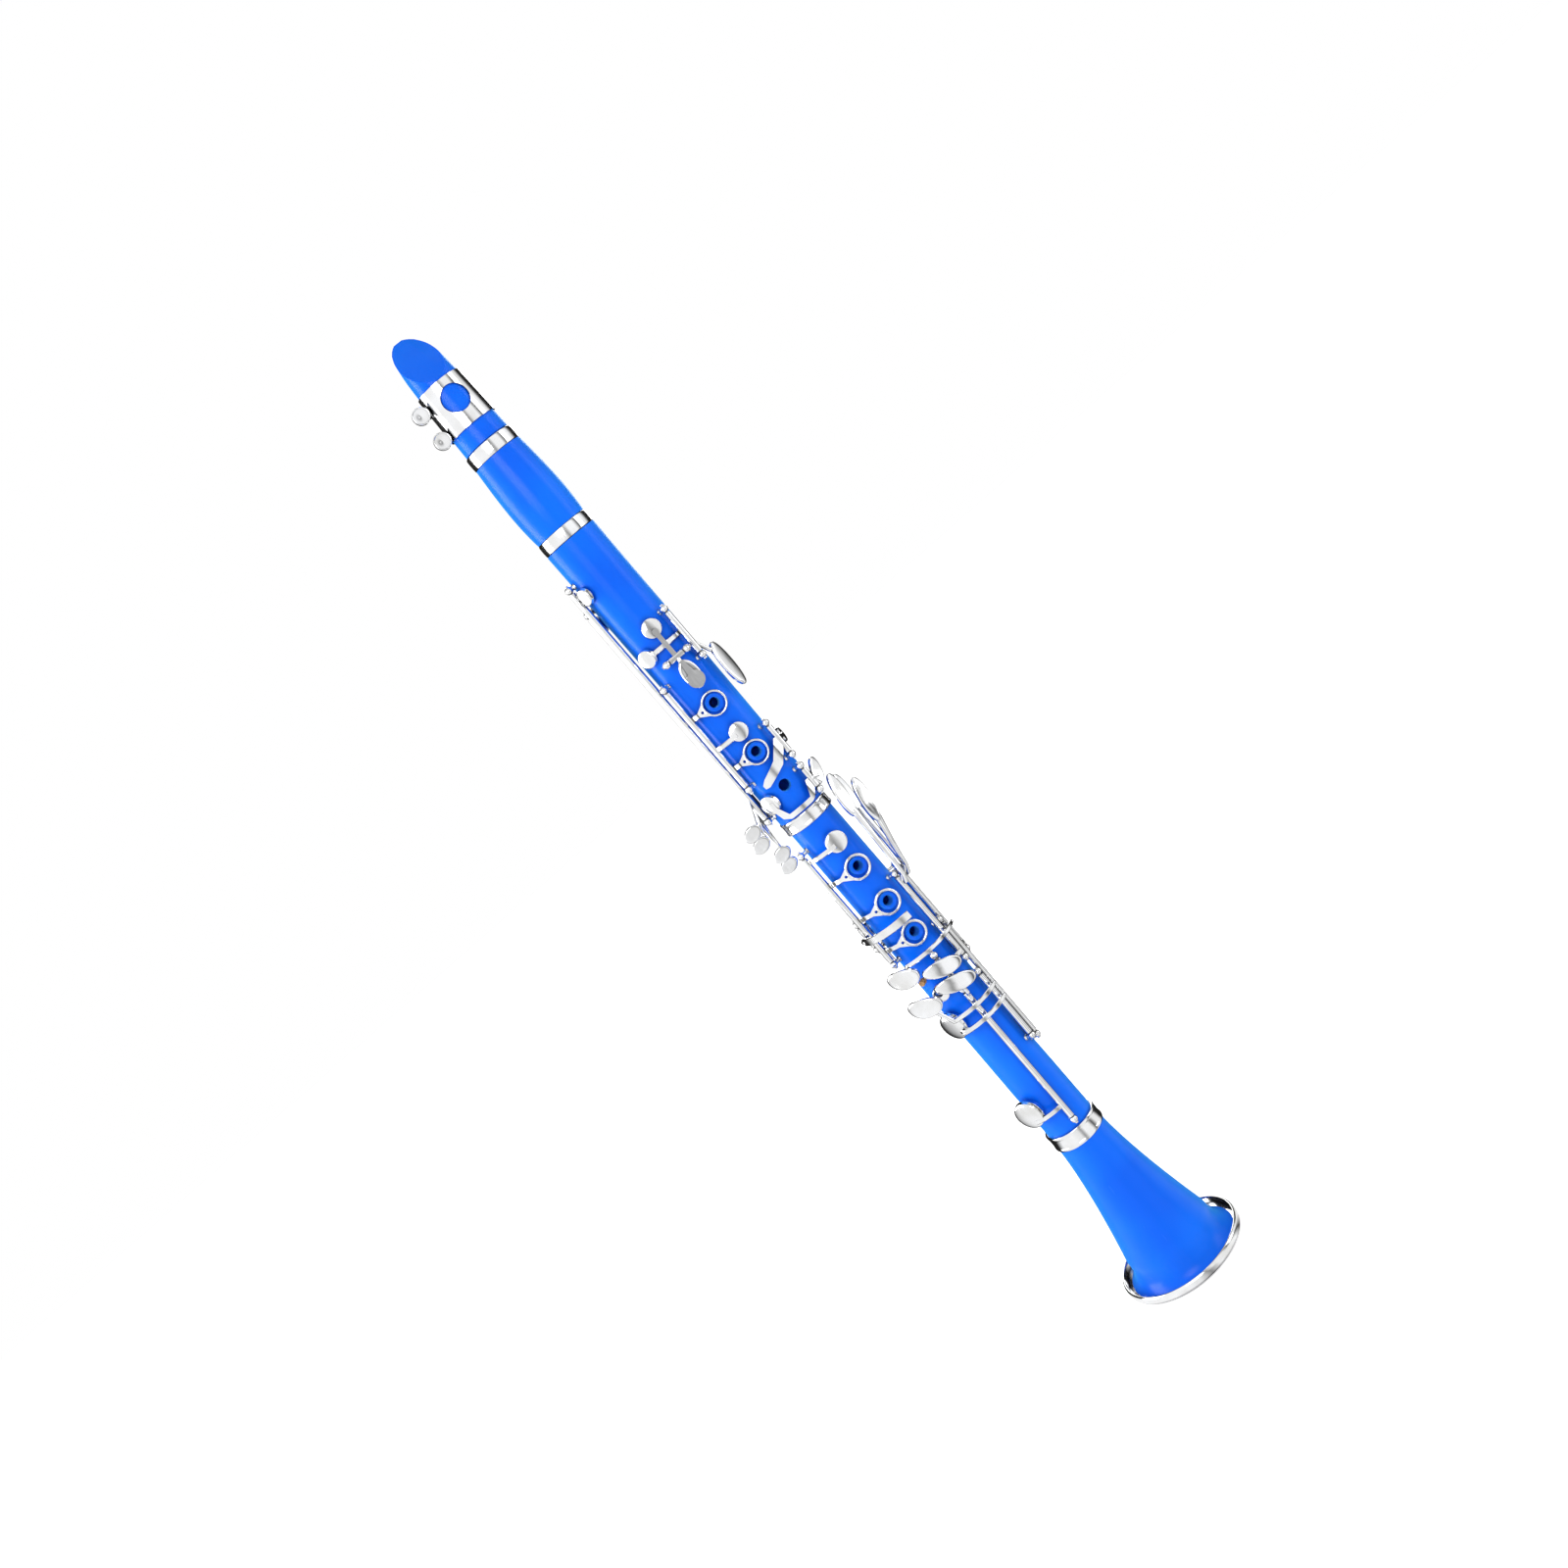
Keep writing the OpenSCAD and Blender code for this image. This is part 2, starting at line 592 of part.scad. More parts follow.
module barrel() {
    bottom = z_barrel + face_gap;
    h = z_mouth - bottom;
    end_r = 13.4;
    low = bottom + barrel_bottom_ring_h;
    high = z_mouth - barrel_top_ring_h;
    steps = 12;
    bulge = [for (i = [0:steps]) let (t = i / steps) [15.4 + (14.6 - 15.4) * t
        + (barrel_r - 15.1) * sin(180 * pow(t, 0.8)), low + (high - low) * t]];
    color(body_blue) difference() {
        rotate_extrude($fn = 96) polygon(concat([[0, bottom], [end_r, bottom], [end_r, low]], bulge,
            [[end_r - 0.6, high], [end_r - 0.6, z_mouth], [0, z_mouth]]));
        translate([0, 0, bottom - 1]) cylinder(r = bore_r, h = h + 2);
        socket(bottom, up = true);
        socket(z_mouth);
    }
}

// A metal ring round one end of the barrel
module barrel_ring(bottom, h, inner, outer) {
    rotate_extrude($fn = 96) polygon([[inner, bottom], [outer - 0.4, bottom], [outer, bottom + 0.7],
        [outer - 0.25, bottom + h / 2], [outer, bottom + h - 0.7], [outer - 0.4, bottom + h], [inner, bottom + h]]);
}

module barrel_rings() {
    low = z_barrel + face_gap;
    color(nickel) {
        barrel_ring(low, barrel_bottom_ring_h - seat_gap, 13.4 + seat_gap, 15.7);
        barrel_ring(z_mouth - barrel_top_ring_h + seat_gap, barrel_top_ring_h - seat_gap, 12.8 + seat_gap, 14.8);
    }
}

// Radius of the mouthpiece's round outside, h above the barrel
mouth_base_r = 13.9;
beak_start = 39;         // where the beak starts to slope
function mouth_r(h) = h < beak_start
    ? mouth_base_r - 1.3 * h / beak_start
    : (mouth_base_r - 1.3) * sqrt(1 - 0.44 * pow((h - beak_start) / (mouthpiece_length - beak_start), 2.2));
table_y = 10.6;          // the flat that the reed lies on
tip_t = 1.1;             // thickness of the mouthpiece at its tip

// The rounded block that the mouthpiece and its reed are cut from
module mouth_block(from, extra = 0) {
    steps = 14;
    tip_round = 5;
    top = mouthpiece_length - tip_round;
    rotate_extrude($fn = 96) polygon(concat([[0, z_mouth + from]],
        [for (i = [0:steps]) let (h = from + (top - from) * i / steps) [mouth_r(h) + extra, z_mouth + h]],
        [for (a = [15:15:90]) [(mouth_r(top) + extra) * pow(cos(a), 0.55), z_mouth + top + tip_round * sin(a)]]));
}

module mouthpiece() {
    slope = atan((table_y + mouth_base_r - 1.3 - tip_t) / (mouthpiece_length - beak_start));
    color(body_blue) rotate([0, 0, mouthpiece_turn]) difference() {
        union() {
            mouth_block(face_gap);
            tenon_down = z_mouth + face_gap;
            tenon(tenon_down);
        }
        // the sloping beak
        translate([0, 1.3 - mouth_base_r, z_mouth + beak_start]) rotate([-slope, 0, 0])
            translate([-30, -60, -10]) cube([60, 60, 80]);
        // the table of the reed
        translate([-30, table_y, z_mouth + 6]) cube([60, 30, 90]);
        // the bore and the chamber under the reed
        translate([0, 0, z_mouth - tenon_length - 1]) cylinder(r = bore_r, h = tenon_length + 24);
        translate([-5.2, 2, z_mouth + 18]) cube([10.4, 20, mouthpiece_length - 24]);
    }
}

module mouthpiece_cork() {
    tenon_cork(z_mouth + face_gap);
}

module reed() {
    heel = 7;
    vamp = 33;
    thin = 0.35;
    color(cane) rotate([0, 0, mouthpiece_turn]) intersection() {
        mouth_block(heel);
        translate([-6.6, 0, 0]) cube([13.2, 40, z_tip - 0.6]);
        rotate([90, 0, 90]) translate([0, 0, -20]) linear_extrude(height = 40) polygon([
            [table_y + seat_gap, z_mouth + heel], [table_y + 4, z_mouth + heel], [table_y + 4, z_mouth + vamp],
            [table_y + 2, z_mouth + vamp + 3], [table_y + seat_gap + thin, z_tip], [table_y + seat_gap, z_tip]]);
    }
}

lig_bottom = 11;         // heights above the barrel
lig_top = 38;
lig_t = 0.8;
lig_gap = 0.15;
lig_screw_h = [14.2, 30.5];
lig_screw_x = -18.6;
lig_screw_r = 1.3;
window_h = 26;
window_r = 7.7;

module ligature_band() {
    r0 = mouth_r(lig_bottom) + lig_gap;
    r1 = mouth_r(lig_top) + lig_gap;
    h = lig_top - lig_bottom;
    color(nickel) rotate([0, 0, mouthpiece_turn]) difference() {
        union() {
            translate([0, 0, z_mouth + lig_bottom]) cylinder(r1 = r0 + lig_t, r2 = r1 + lig_t, h = h, $fn = 96);
            // a pair of lugs for each screw
            for (z = lig_screw_h) for (y = [-1.2, 4.2]) translate([lig_screw_x, y, z_mouth + z])
                rotate([90, 0, 0]) {
                    cylinder(r = 2.7, h = 2.6);
                    translate([0, -2.7, 0]) cube([6.5, 5.4, 2.6]);
                }
        }
        translate([0, 0, z_mouth + lig_bottom]) cylinder(r1 = r0, r2 = r1, h = h, $fn = 96);
        translate([0, 0, z_mouth + lig_bottom - 5]) cylinder(r = r1, h = h + 10, $fn = 96);
        on_body(z_mouth + window_h, 0, 0) cylinder(r = window_r, h = 30);
        for (z = lig_screw_h) translate([lig_screw_x, 0, z_mouth + z]) rotate([90, 0, 0])
            cylinder(r = lig_screw_r + hinge_gap, h = 40, center = true);
    }
}

// A thumbscrew of the ligature: a flat round head in front and a shank through both lugs
module ligature_screw(h) {
    head_r = 5;
    head_t = 1.8;
    head_y = -4.4;
    color(nickel) rotate([0, 0, mouthpiece_turn]) translate([lig_screw_x, head_y, z_mouth + h]) rotate([-90, 0, 0]) {
        translate([0, 0, -head_t]) rotate_extrude() polygon([[0, 0.35], [head_r - 1.5, 0.35], [head_r - 1, 0],
            [head_r - 0.3, 0], [head_r, 0.4], [head_r, head_t - 0.4], [head_r - 0.4, head_t], [0, head_t]]);
        cylinder(r = lig_screw_r, h = 10.4);
    }
}

// ---- upper joint keys ----

module register_tube() {
    z = register_hole[0];
    on_body(z, 180, 0) color(nickel) difference() {
        union() {
            translate([0, 0, bore_r - 0.5]) cylinder(r = register_tube_r, h = body_r(z) + seat_height - bore_r + 0.5);
            translate([0, 0, body_r(z) + seat_gap]) cylinder(r = register_tube_r + 0.8, h = seat_height - seat_gap);
        }
        translate([0, 0, 0]) cylinder(r = register_hole[3], h = 30);
    }
}
register_tube_r = 1.7;

// A key that rocks on a cross hinge: a cup above the hinge and a leaf touch below it
module cross_key(hinge, hole, touch_len, touch_w, touch_drop) {
    z = hinge[1];
    tube_half = cross_half - post_ball_r - end_gap;
    arm_rho = cross_rho + 0.3;
    cup_r = cup_top_r(hole);
    color(nickel) difference() {
        union() {
            cup(hole);
            rotate([0, 0, hinge[0]]) {
                translate([0, -cross_rho, z]) rotate([0, 90, 0]) cylinder(r = tube_r, h = 2 * tube_half, center = true);
                // the arm to the cup
                translate([-1.3, -arm_rho - 0.9, z]) cube([2.6, 1.6, hole[0] - z - 2.2]);
                translate([0, -arm_rho + 0.9, hole[0] - 2.6]) rotate([90, 0, 0]) cylinder(r = 1.7, h = 1.8);
                translate([-1.3, -arm_rho - 0.5, hole[0] - 3.8]) cube([2.6, arm_rho - cup_r + 0.6, 2.4]);
                // the leaf touch
                strut([0, -arm_rho, z], [0, -arm_rho - 1, z - touch_drop], 1.2);
                translate([0, -arm_rho - 1.6, z - touch_drop + 1]) rotate([86, 0, 0]) linear_extrude(height = touch_t)
                    leaf(touch_len, touch_w);
            }
        }
        rotate([0, 0, hinge[0]]) translate([0, -cross_rho, z]) rotate([0, 90, 0])
            cylinder(r = rod_r + hinge_gap, h = 2 * cross_half, center = true);
    }
}

// A leaf outline that hangs down from the origin: narrow at the top and round at the bottom
module leaf(len, wid) {
    points = 24;
    polygon(concat([[-1.1, 0], [1.1, 0]], [for (i = [0:points]) let (a = 65 - 310 * i / points)
        [wid / 2 * cos(a), -len + wid / 2 + wid / 2 * sin(a)]]));
}

module throat_a_key() { cross_key(throat_a_hinge, throat_a_hole, 17, 9.6, 4); }
module throat_a_pad() { color(pad_white) pad(throat_a_hole); }
module register_key() { cross_key(register_hinge, register_hole, 19, 8, 4); }
module register_pad() { color(pad_white) pad(register_hole); }

module gsharp_key() {
    line = gsharp_line;
    hole = gsharp_hole;
    touch_z = z_upper + 86.5;
    low_rho = body_r(hole[0]) + 1.9;
    key(line) {
        cup(hole);
        arc_arm(hole[0], line[0] + arm_bite, hole[1] + 16, low_rho, t = 1.3);
        // the stem that lifts the touch over the lower post
        bent_bar([line_at(line, line[1] + 6) + [1.4, 0.6, 0], [16.8, -13.6, line[1] - 1],
            [18.6, -12.4, touch_z + 11]], 1.1);
        touch_plate([19.6, -11.6, touch_z], 48, 28, 9.5, tilt = 90, bend = 18);
    }
}
module gsharp_pad() { color(pad_white) pad(gsharp_hole); }

// A side key: a long hinge tube with a cup above and a round-ended touch that hangs beside the body
side_touches = [[-29.8, -9.5, z_upper + 8.3], [-29.8, -1.8, z_upper - 0.8], [-24.2, 3.2, z_upper - 13], [-24.8, 8.6, z_upper - 21]];
side_joins = [z_upper + 25, z_upper + 17, z_upper + 13, z_upper + 12];
module side_key(i) {
    line = side_lines[i];
    hole = side_holes[i];
    touch = side_touches[i];
    key(line) {
        cup(hole);
        cup_arm(line, hole, hole[0]);
        if (i < 2) strut(line_at(line, side_joins[i]), touch + [3.5, 0, 1], 1.1);
        else bent_bar([line_at(line, side_joins[i]), round_at(line[0], line[3] + 4.1, line[1] + 2),
            touch + [1.5, 0, 1]], 1.1);
        touch_plate(touch, -6, 10.5, 7.6, tilt = 12, bend = 40);
    }
}
module side_pad(i) { color(pad_white) pad(side_holes[i]); }
module side_key_1() { side_key(0); }
module side_pad_1() { side_pad(0); }
module side_key_2() { side_key(1); }
module side_pad_2() { side_pad(1); }
module side_key_3() { side_key(2); }
module side_pad_3() { side_pad(2); }
module side_key_4() { side_key(3); }
module side_pad_4() { side_pad(3); }

module upper_ring_key() {
    key(ring_line, -ring_open) {
        for (hole = ring_holes) finger_ring(ring_line, hole, upper_ring_out_r);
        cup(vent_hole);
        cup_arm(ring_line, vent_hole, vent_hole[0] - 0.8);
    }
}
module upper_ring_pad() { color(pad_white) turned(ring_line, -ring_open) pad(vent_hole); }

module thumb_ring_key() {
    z = thumb_hole[0];
    ring_h = 1.5;
    top = body_r(z) + chimney_height;
    key(thumb_line, -thumb_open) {
        on_body(z, thumb_hole[1], top - ring_h) difference() {
            cylinder(r = upper_ring_out_r, h = ring_h);
            translate([0, 0, -1]) cylinder(r = ring_in_r, h = ring_h + 2);
        }
        arc_arm(z, thumb_line[0] - arm_bite, 180 - 20.5, top, t = 1.5, w = 4);
    }
}

module eflat_sliver_key() {
    line = eflat_line;
    hole = eflat_hole;
    touch_z = z_upper + 27;
    key(line) {
        cup(hole);
        cup_arm(line, hole, hole[0]);
        wrapped(0, upper_rho - 0.1, touch_t) polygon([[14.2, hole[0] + 2.5], [14.2, hole[0] - 2.5],
            [6, touch_z + 0.2], [-7, touch_z - 4.6], [-9.4, touch_z - 4.2], [-9.6, touch_z - 1.8],
            [-7, touch_z + 0.4], [3, touch_z + 5], [11, hole[0] + 2.5]]);
    }
}
module eflat_sliver_pad() { color(pad_white) pad(eflat_hole); }

module csharp_key() {
    line = csharp_line;
    hole = csharp_hole;
    arm_z = z_upper + 3;
    joint_z = line[1] + 7.3;
    key(line) {
        cup(hole);
        wrapped(0, body_r(hole[0]) + arm_lift + 0.9, arm_t) polygon([[13.9, joint_z + 1.5], [13.9, joint_z - 1.5],
            [7.8, arm_z - 0.6], [5.4, arm_z - 1.4], [-9, arm_z - 1.4], [-12.5, arm_z + 1], [-14.2, hole[0] - 3],
            [-14.2, hole[0] + 1], [-11.4, hole[0] + 1], [-11.4, hole[0] - 3], [-8.5, arm_z + 1.4],
            [6, arm_z + 1.4], [9.5, joint_z + 1.5]]);
        strut(line_at(line, joint_z) + [0.8, -1, 0], [16.8, -14, joint_z - 1.4], 1.2);
        touch_plate([18.2, -12.6, joint_z + 1.2], 38, 15.5, 7.4, tilt = 62, bend = 16);
    }
}
module csharp_pad() { color(pad_white) pad(csharp_hole); }

// ---- lower joint ----

module lower_ring_key() {
    rotate([0, 0, lower_turn]) key(lower_ring_line, -ring_open) {
        for (hole = lower_ring_holes) finger_ring(lower_ring_line, hole, lower_ring_out_r);
        cup(lower_vent_hole);
        cup_arm(lower_ring_line, lower_vent_hole, lower_vent_hole[0] - 1);
    }
}
module lower_ring_pad() {
    color(pad_white) rotate([0, 0, lower_turn]) turned(lower_ring_line, -ring_open) pad(lower_vent_hole);
}

module b_sliver_key() {
    line = b_sliver_line;
    hole = b_sliver_hole;
    rotate([0, 0, lower_turn]) key(line) {
        cup(hole);
        cup_arm(line, hole, hole[0]);
        arc_arm(hole[0], -84, 6, lower_rho + 4, w = 4.6, t = 1.4);
        bent_bar([line_at(line, hole[0]), round_at(-88, lower_rho + 4, hole[0]),
            round_at(-82, lower_rho + 4, hole[0])], 1.2);
    }
}
module b_sliver_pad() { color(pad_white) rotate([0, 0, lower_turn]) pad(b_sliver_hole); }

// A left-hand lever: a tube, a stem that rises from its top and a blade for the little finger;
// a short finger at the foot of the tube reaches towards the key that it works
module left_lever(line, blade, facing, tilt, toe_angle) {
    knee = round_at(line[0], line[3] + 4.3, line[2] - 2);
    rotate([0, 0, lower_turn]) key(line) {
        bent_bar([line_at(line, line[2] - 6.5), knee, blade - [0, 0, 9]], 1.2);
        touch_plate(blade, facing, 27, 8, tilt = tilt, bend = 22);
        arc_arm(line[1] + 5, line[0] + arm_bite, toe_angle, line[3] + 0.9, w = 2.6, t = 1.6);
    }
}
module left_fsharp_lever() { left_lever(left_fsharp_line, [18.8, -14, z_upper - 7.5], 30, 82, 22); }
module left_f_lever() { left_lever(left_f_line, [28.6, -9, z_upper - 19], 22, 80, 66); }
module left_e_lever() { left_lever(left_e_line, [25.5, 4, z_upper - 13], 30, 84, 82); }

// Four little-finger touches of the right hand: [x, y, height, facing, length, width, tilt]
fsharp_touch = [-3.4, -23.6, z_lower + 122, -10, 23.4, 9, -18];
e_touch = [-3, -23.4, z_lower + 110.6, -8, 25, 9, -20];
aflat_touch = [-22.6, -15.2, z_lower + 130, -44, 19.5, 11.2, -12];
f_touch = [-24.6, -15.2, z_lower + 111, -48, 20.5, 11.4, -14];
module little_finger_touch(t, bend = 24) {
    touch_plate([t[0], t[1], t[2]], t[3], t[4], t[5], tilt = t[6], bend = bend);
}

module low_fsharp_key() {
    line = low_fsharp_line;
    hole = low_fsharp_hole;
    rotate([0, 0, lower_turn]) key(line, low_fsharp_open) {
        cup(hole);
        cup_arm(line, hole, hole[0]);
        on_body(fsharp_touch[2], line[0], line[3]) cylinder(r = 1.7, h = 4.6);
        little_finger_touch(fsharp_touch);
    }
}
module low_fsharp_pad() {
    color(pad_white) rotate([0, 0, lower_turn]) turned(low_fsharp_line, low_fsharp_open) pad(low_fsharp_hole);
}

module low_e_key() {
    line = low_e_line;
    hole = low_e_hole;
    stem_z = line[2] - 5;
    over = round_at(line[0], line[3] + 3.6, line[2] - 2);
    rotate([0, 0, lower_turn]) key(line, low_e_open) {
        cup(hole);
        cup_arm(line, hole, hole[0] - 5);
        bent_bar([line_at(line, stem_z), over, round_at(line[0], line[3] + 3.6, e_touch[2] - 1.6)], 1.05);
        little_finger_touch(e_touch);
    }
}
module low_e_pad() {
    color(pad_white) rotate([0, 0, lower_turn]) turned(low_e_line, low_e_open) pad(low_e_hole);
}

// The low F key crosses over the low E tube, once to its cup and once to its touch
module low_f_key() {
    line = low_f_line;
    hole = low_f_hole;
    over_rho = line[3] + tube_r + 1.2 + arm_t / 2;
    cup_z = hole[0] - 4;
    touch_z = line[2] - 10;
    land = -47;
    rotate([0, 0, lower_turn]) key(line, low_f_open) {
        cup(hole);
        for (z = [cup_z, touch_z]) {
            strut(line_at(line, z), round_at(line[0] - 3, over_rho, z), 1.3);
            arc_arm(z, line[0] - 3, land, over_rho);
        }
        strut(round_at(land, over_rho, cup_z), round_at(land - 8, cup_top_r(hole) + 1.3, cup_z), 1.2);
        strut(round_at(land, over_rho, touch_z), [f_touch[0] + 2, f_touch[1] + 0.5, f_touch[2] - 2], 1.3);
        little_finger_touch(f_touch);
    }
}
module low_f_pad() {
    color(pad_white) rotate([0, 0, lower_turn]) turned(low_f_line, low_f_open) pad(low_f_hole);
}

// The A flat key crosses the front above the other little-finger touches
module aflat_key() {
    line = aflat_line;
    hole = aflat_hole;
    over_rho = line[3] + tube_r + 2 + arm_t / 2;
    over_z = z_lower + 134.3;
    land = -44;
    rotate([0, 0, lower_turn]) key(line) {
        cup(hole);
        cup_arm(line, hole, hole[0]);
        strut(line_at(line, over_z - 0.6), round_at(line[0], over_rho, over_z), 1.2);
        arc_arm(over_z, line[0], land, over_rho, w = 2.4);
        strut(round_at(land, over_rho, over_z), [aflat_touch[0] + 3, aflat_touch[1] - 1, aflat_touch[2] + 2], 1.2);
        little_finger_touch(aflat_touch);
    }
}
module aflat_pad() { color(pad_white) rotate([0, 0, lower_turn]) pad(aflat_hole); }

// ---- thumb rest ----

rest_z = z_lower + 178;
rest_h = 27;
rest_w = 12;
rest_t = 1.5;
rest_screw_r = 1.1;
thumb_rest_screw_z = [rest_z - 9, rest_z + 3.6];
strap_ring_hole_r = 2.2;

module thumb_rest() {
    base = lower_r(rest_z - rest_h / 2) + seat_gap;
    hook_z = rest_z - 3;
    color(nickel) rotate([0, 0, lower_turn]) difference() {
        union() {
            wrapped(180, base + rest_t / 2, rest_t) translate([0, rest_z]) oval_plate(rest_w, rest_h);
            // the hook that the thumb carries
            on_body(hook_z, 180, base + 0.4) translate([-rest_w / 2, -1.1, 0]) cube([rest_w, 2.2, 9]);
            on_body(hook_z, 180, base + 9) rotate([0, 90, 0]) translate([0, 0, -rest_w / 2])
                rotate([0, 0, 90]) intersection() {
                    difference() {
                        translate([5.4, 0, 0]) cylinder(r = 6.5, h = rest_w);
                        translate([5.4, 0, -1]) cylinder(r = 4.3, h = rest_w + 2);
                    }
                    translate([-2, -8, 0]) cube([6.5, 8.2, rest_w]);
                }
            // the ring for a neck strap
            on_body(rest_z + rest_h / 2 - 3.4, 180, base + rest_t - 0.3) rotate([90, 0, 90])
                translate([0, 3.2, -0.9]) cylinder(r = strap_ring_hole_r + 1.4, h = 1.8);
        }
        on_body(rest_z + rest_h / 2 - 3.4, 180, base + rest_t - 0.3) rotate([90, 0, 90])
            translate([0, 3.2, -3]) cylinder(r = strap_ring_hole_r, h = 6);
        for (z = thumb_rest_screw_z) on_body(z, 180, base - 1) cylinder(r = rest_screw_r + seat_gap, h = 6);
    }
}
module oval_plate(w, h) {
    r = 3;
    for (x = [-1, 1]) for (y = [-1, 1]) translate([x * (w / 2 - r), y * (h / 2 - r)]) circle(r = r);
    square([w, h - 2 * r], center = true);
    square([w - 2 * r, h], center = true);
}

module thumb_rest_screws() {
    base = lower_r(rest_z - rest_h / 2) + seat_gap + rest_t;
    color(nickel) rotate([0, 0, lower_turn]) for (z = thumb_rest_screw_z)
        on_body(z, 180, base + seat_gap) difference() {
            union() {
                translate([0, 0, -5]) cylinder(r = rest_screw_r, h = 5.2);
                cylinder(r1 = 2.1, r2 = 1.6, h = 1);
            }
            translate([0, 0, 1]) cube([5, 0.5, 0.8], center = true);
        }
}

upper_joint();
lower_joint();
bell();
bell_socket_ring();
bell_rim_ring();
lower_joint_ring();
body_corks();
upper_posts();
lower_posts();
upper_rods();
lower_rods();
needle_springs();
register_tube();
thumb_rest();
thumb_rest_screws();
barrel();
barrel_rings();
mouthpiece();
mouthpiece_cork();
reed();
ligature_band();
ligature_screw(lig_screw_h[1]);  // ligature_screw_upper
ligature_screw(lig_screw_h[0]);  // ligature_screw_lower
register_key();
register_pad();
throat_a_key();
throat_a_pad();
gsharp_key();
gsharp_pad();
side_key_1();
side_pad_1();
side_key_2();
side_pad_2();
side_key_3();
side_pad_3();
side_key_4();
side_pad_4();
upper_ring_key();
upper_ring_pad();
thumb_ring_key();
eflat_sliver_key();
eflat_sliver_pad();
csharp_key();
csharp_pad();
lower_ring_key();
lower_ring_pad();
b_sliver_key();
b_sliver_pad();
left_fsharp_lever();
left_f_lever();
left_e_lever();
low_e_key();
low_e_pad();
low_f_key();
low_f_pad();
low_fsharp_key();
low_fsharp_pad();
aflat_key();
aflat_pad();
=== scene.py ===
import json
import math

import bpy
from mathutils import Matrix, Vector


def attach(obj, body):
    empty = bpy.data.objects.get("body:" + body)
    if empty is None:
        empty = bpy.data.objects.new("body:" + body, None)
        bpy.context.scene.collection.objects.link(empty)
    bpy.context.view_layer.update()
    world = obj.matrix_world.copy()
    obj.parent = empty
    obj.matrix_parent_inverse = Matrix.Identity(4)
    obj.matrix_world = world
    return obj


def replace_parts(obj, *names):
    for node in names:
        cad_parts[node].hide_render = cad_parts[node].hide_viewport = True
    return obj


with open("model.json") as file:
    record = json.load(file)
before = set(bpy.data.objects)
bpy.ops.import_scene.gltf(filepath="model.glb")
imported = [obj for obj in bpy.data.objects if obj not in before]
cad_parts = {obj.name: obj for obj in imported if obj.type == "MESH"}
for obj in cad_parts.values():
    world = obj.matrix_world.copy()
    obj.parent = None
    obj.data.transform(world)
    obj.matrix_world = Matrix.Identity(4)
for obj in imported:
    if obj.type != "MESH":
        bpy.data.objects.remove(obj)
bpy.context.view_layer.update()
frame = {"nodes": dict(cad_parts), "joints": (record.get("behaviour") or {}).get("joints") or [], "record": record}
nodes = frame["nodes"]


def mm(value):
    return value / 1000.0


def linear(code):  # sRGB hex to linear colour
    channels = [int(code[i:i + 2], 16) / 255 for i in (1, 3, 5)]
    return [c / 12.92 if c <= 0.04045 else ((c + 0.055) / 1.055) ** 2.4 for c in channels] + [1.0]


def deselectAll():
    if bpy.context.object and bpy.context.object.mode != "OBJECT":
        bpy.ops.object.mode_set(mode="OBJECT")
    bpy.ops.object.select_all(action="DESELECT")


def sine(degrees):
    return math.sin(math.radians(degrees))


def cosine(degrees):
    return math.cos(math.radians(degrees))


def addNode(tree, kind, values=(), links=(), **settings):
    node = tree.nodes.new(kind)
    for key, value in settings.items():
        setattr(node, key, value)
    for socket, value in dict(values).items():
        node.inputs[socket].default_value = value
    for socket, source in dict(links).items():
        tree.links.new(source, node.inputs[socket])
    return node


def newMaterial(name, values):
    material = bpy.data.materials.new(name)
    material.use_nodes = True
    tree = material.node_tree
    shader = tree.nodes["Principled BSDF"]
    for socket, value in values.items():
        shader.inputs[socket].default_value = value
    return material, tree, shader


def objectCoordinates(tree, scale):
    place = addNode(tree, "ShaderNodeTexCoord")
    return addNode(tree, "ShaderNodeMapping", {"Scale": scale}, {"Vector": place.outputs["Object"]}).outputs["Vector"]


def rampNode(tree, source, stops):
    ramp = addNode(tree, "ShaderNodeValToRGB", links={"Fac": source})
    elements = ramp.color_ramp.elements
    while len(elements) < len(stops):
        elements.new(0.5)
    for element, (position, colour) in zip(elements, stops):
        element.position = position
        element.color = colour
    return ramp


def grey(value):
    return [value, value, value, 1.0]


def bumpNormal(tree, height, strength, distance):
    bump = addNode(tree, "ShaderNodeBump", {"Strength": strength, "Distance": mm(distance)}, {"Height": height})
    return bump.outputs["Normal"]


# Painted shade: an ambient-occlusion mask darkens the base colour where pieces stand close together
def paintedCrowdShade(tree, colour, reach, corner, stops):  # darker where pieces stand close together
    near = addNode(tree, "ShaderNodeAmbientOcclusion", {"Distance": mm(reach)}, samples=8)
    shade = rampNode(tree, near.outputs["AO"], [(stops[0], linear(corner)), (stops[1], grey(1.0))])
    blend = addNode(tree, "ShaderNodeMix", data_type="RGBA", blend_type="MULTIPLY")
    blend.inputs["Factor"].default_value = 1.0
    tree.links.new(colour, blend.inputs["A"])
    tree.links.new(shade.outputs["Color"], blend.inputs["B"])
    return blend.outputs["Result"]


# Coloured ABS, moulded and buffed: a deep even blue under a wet-looking skin
plastic = dict(shade="#0061f2", light="#006efc", roughness=0.26, orangePeel=6.0, wipe=3.0)


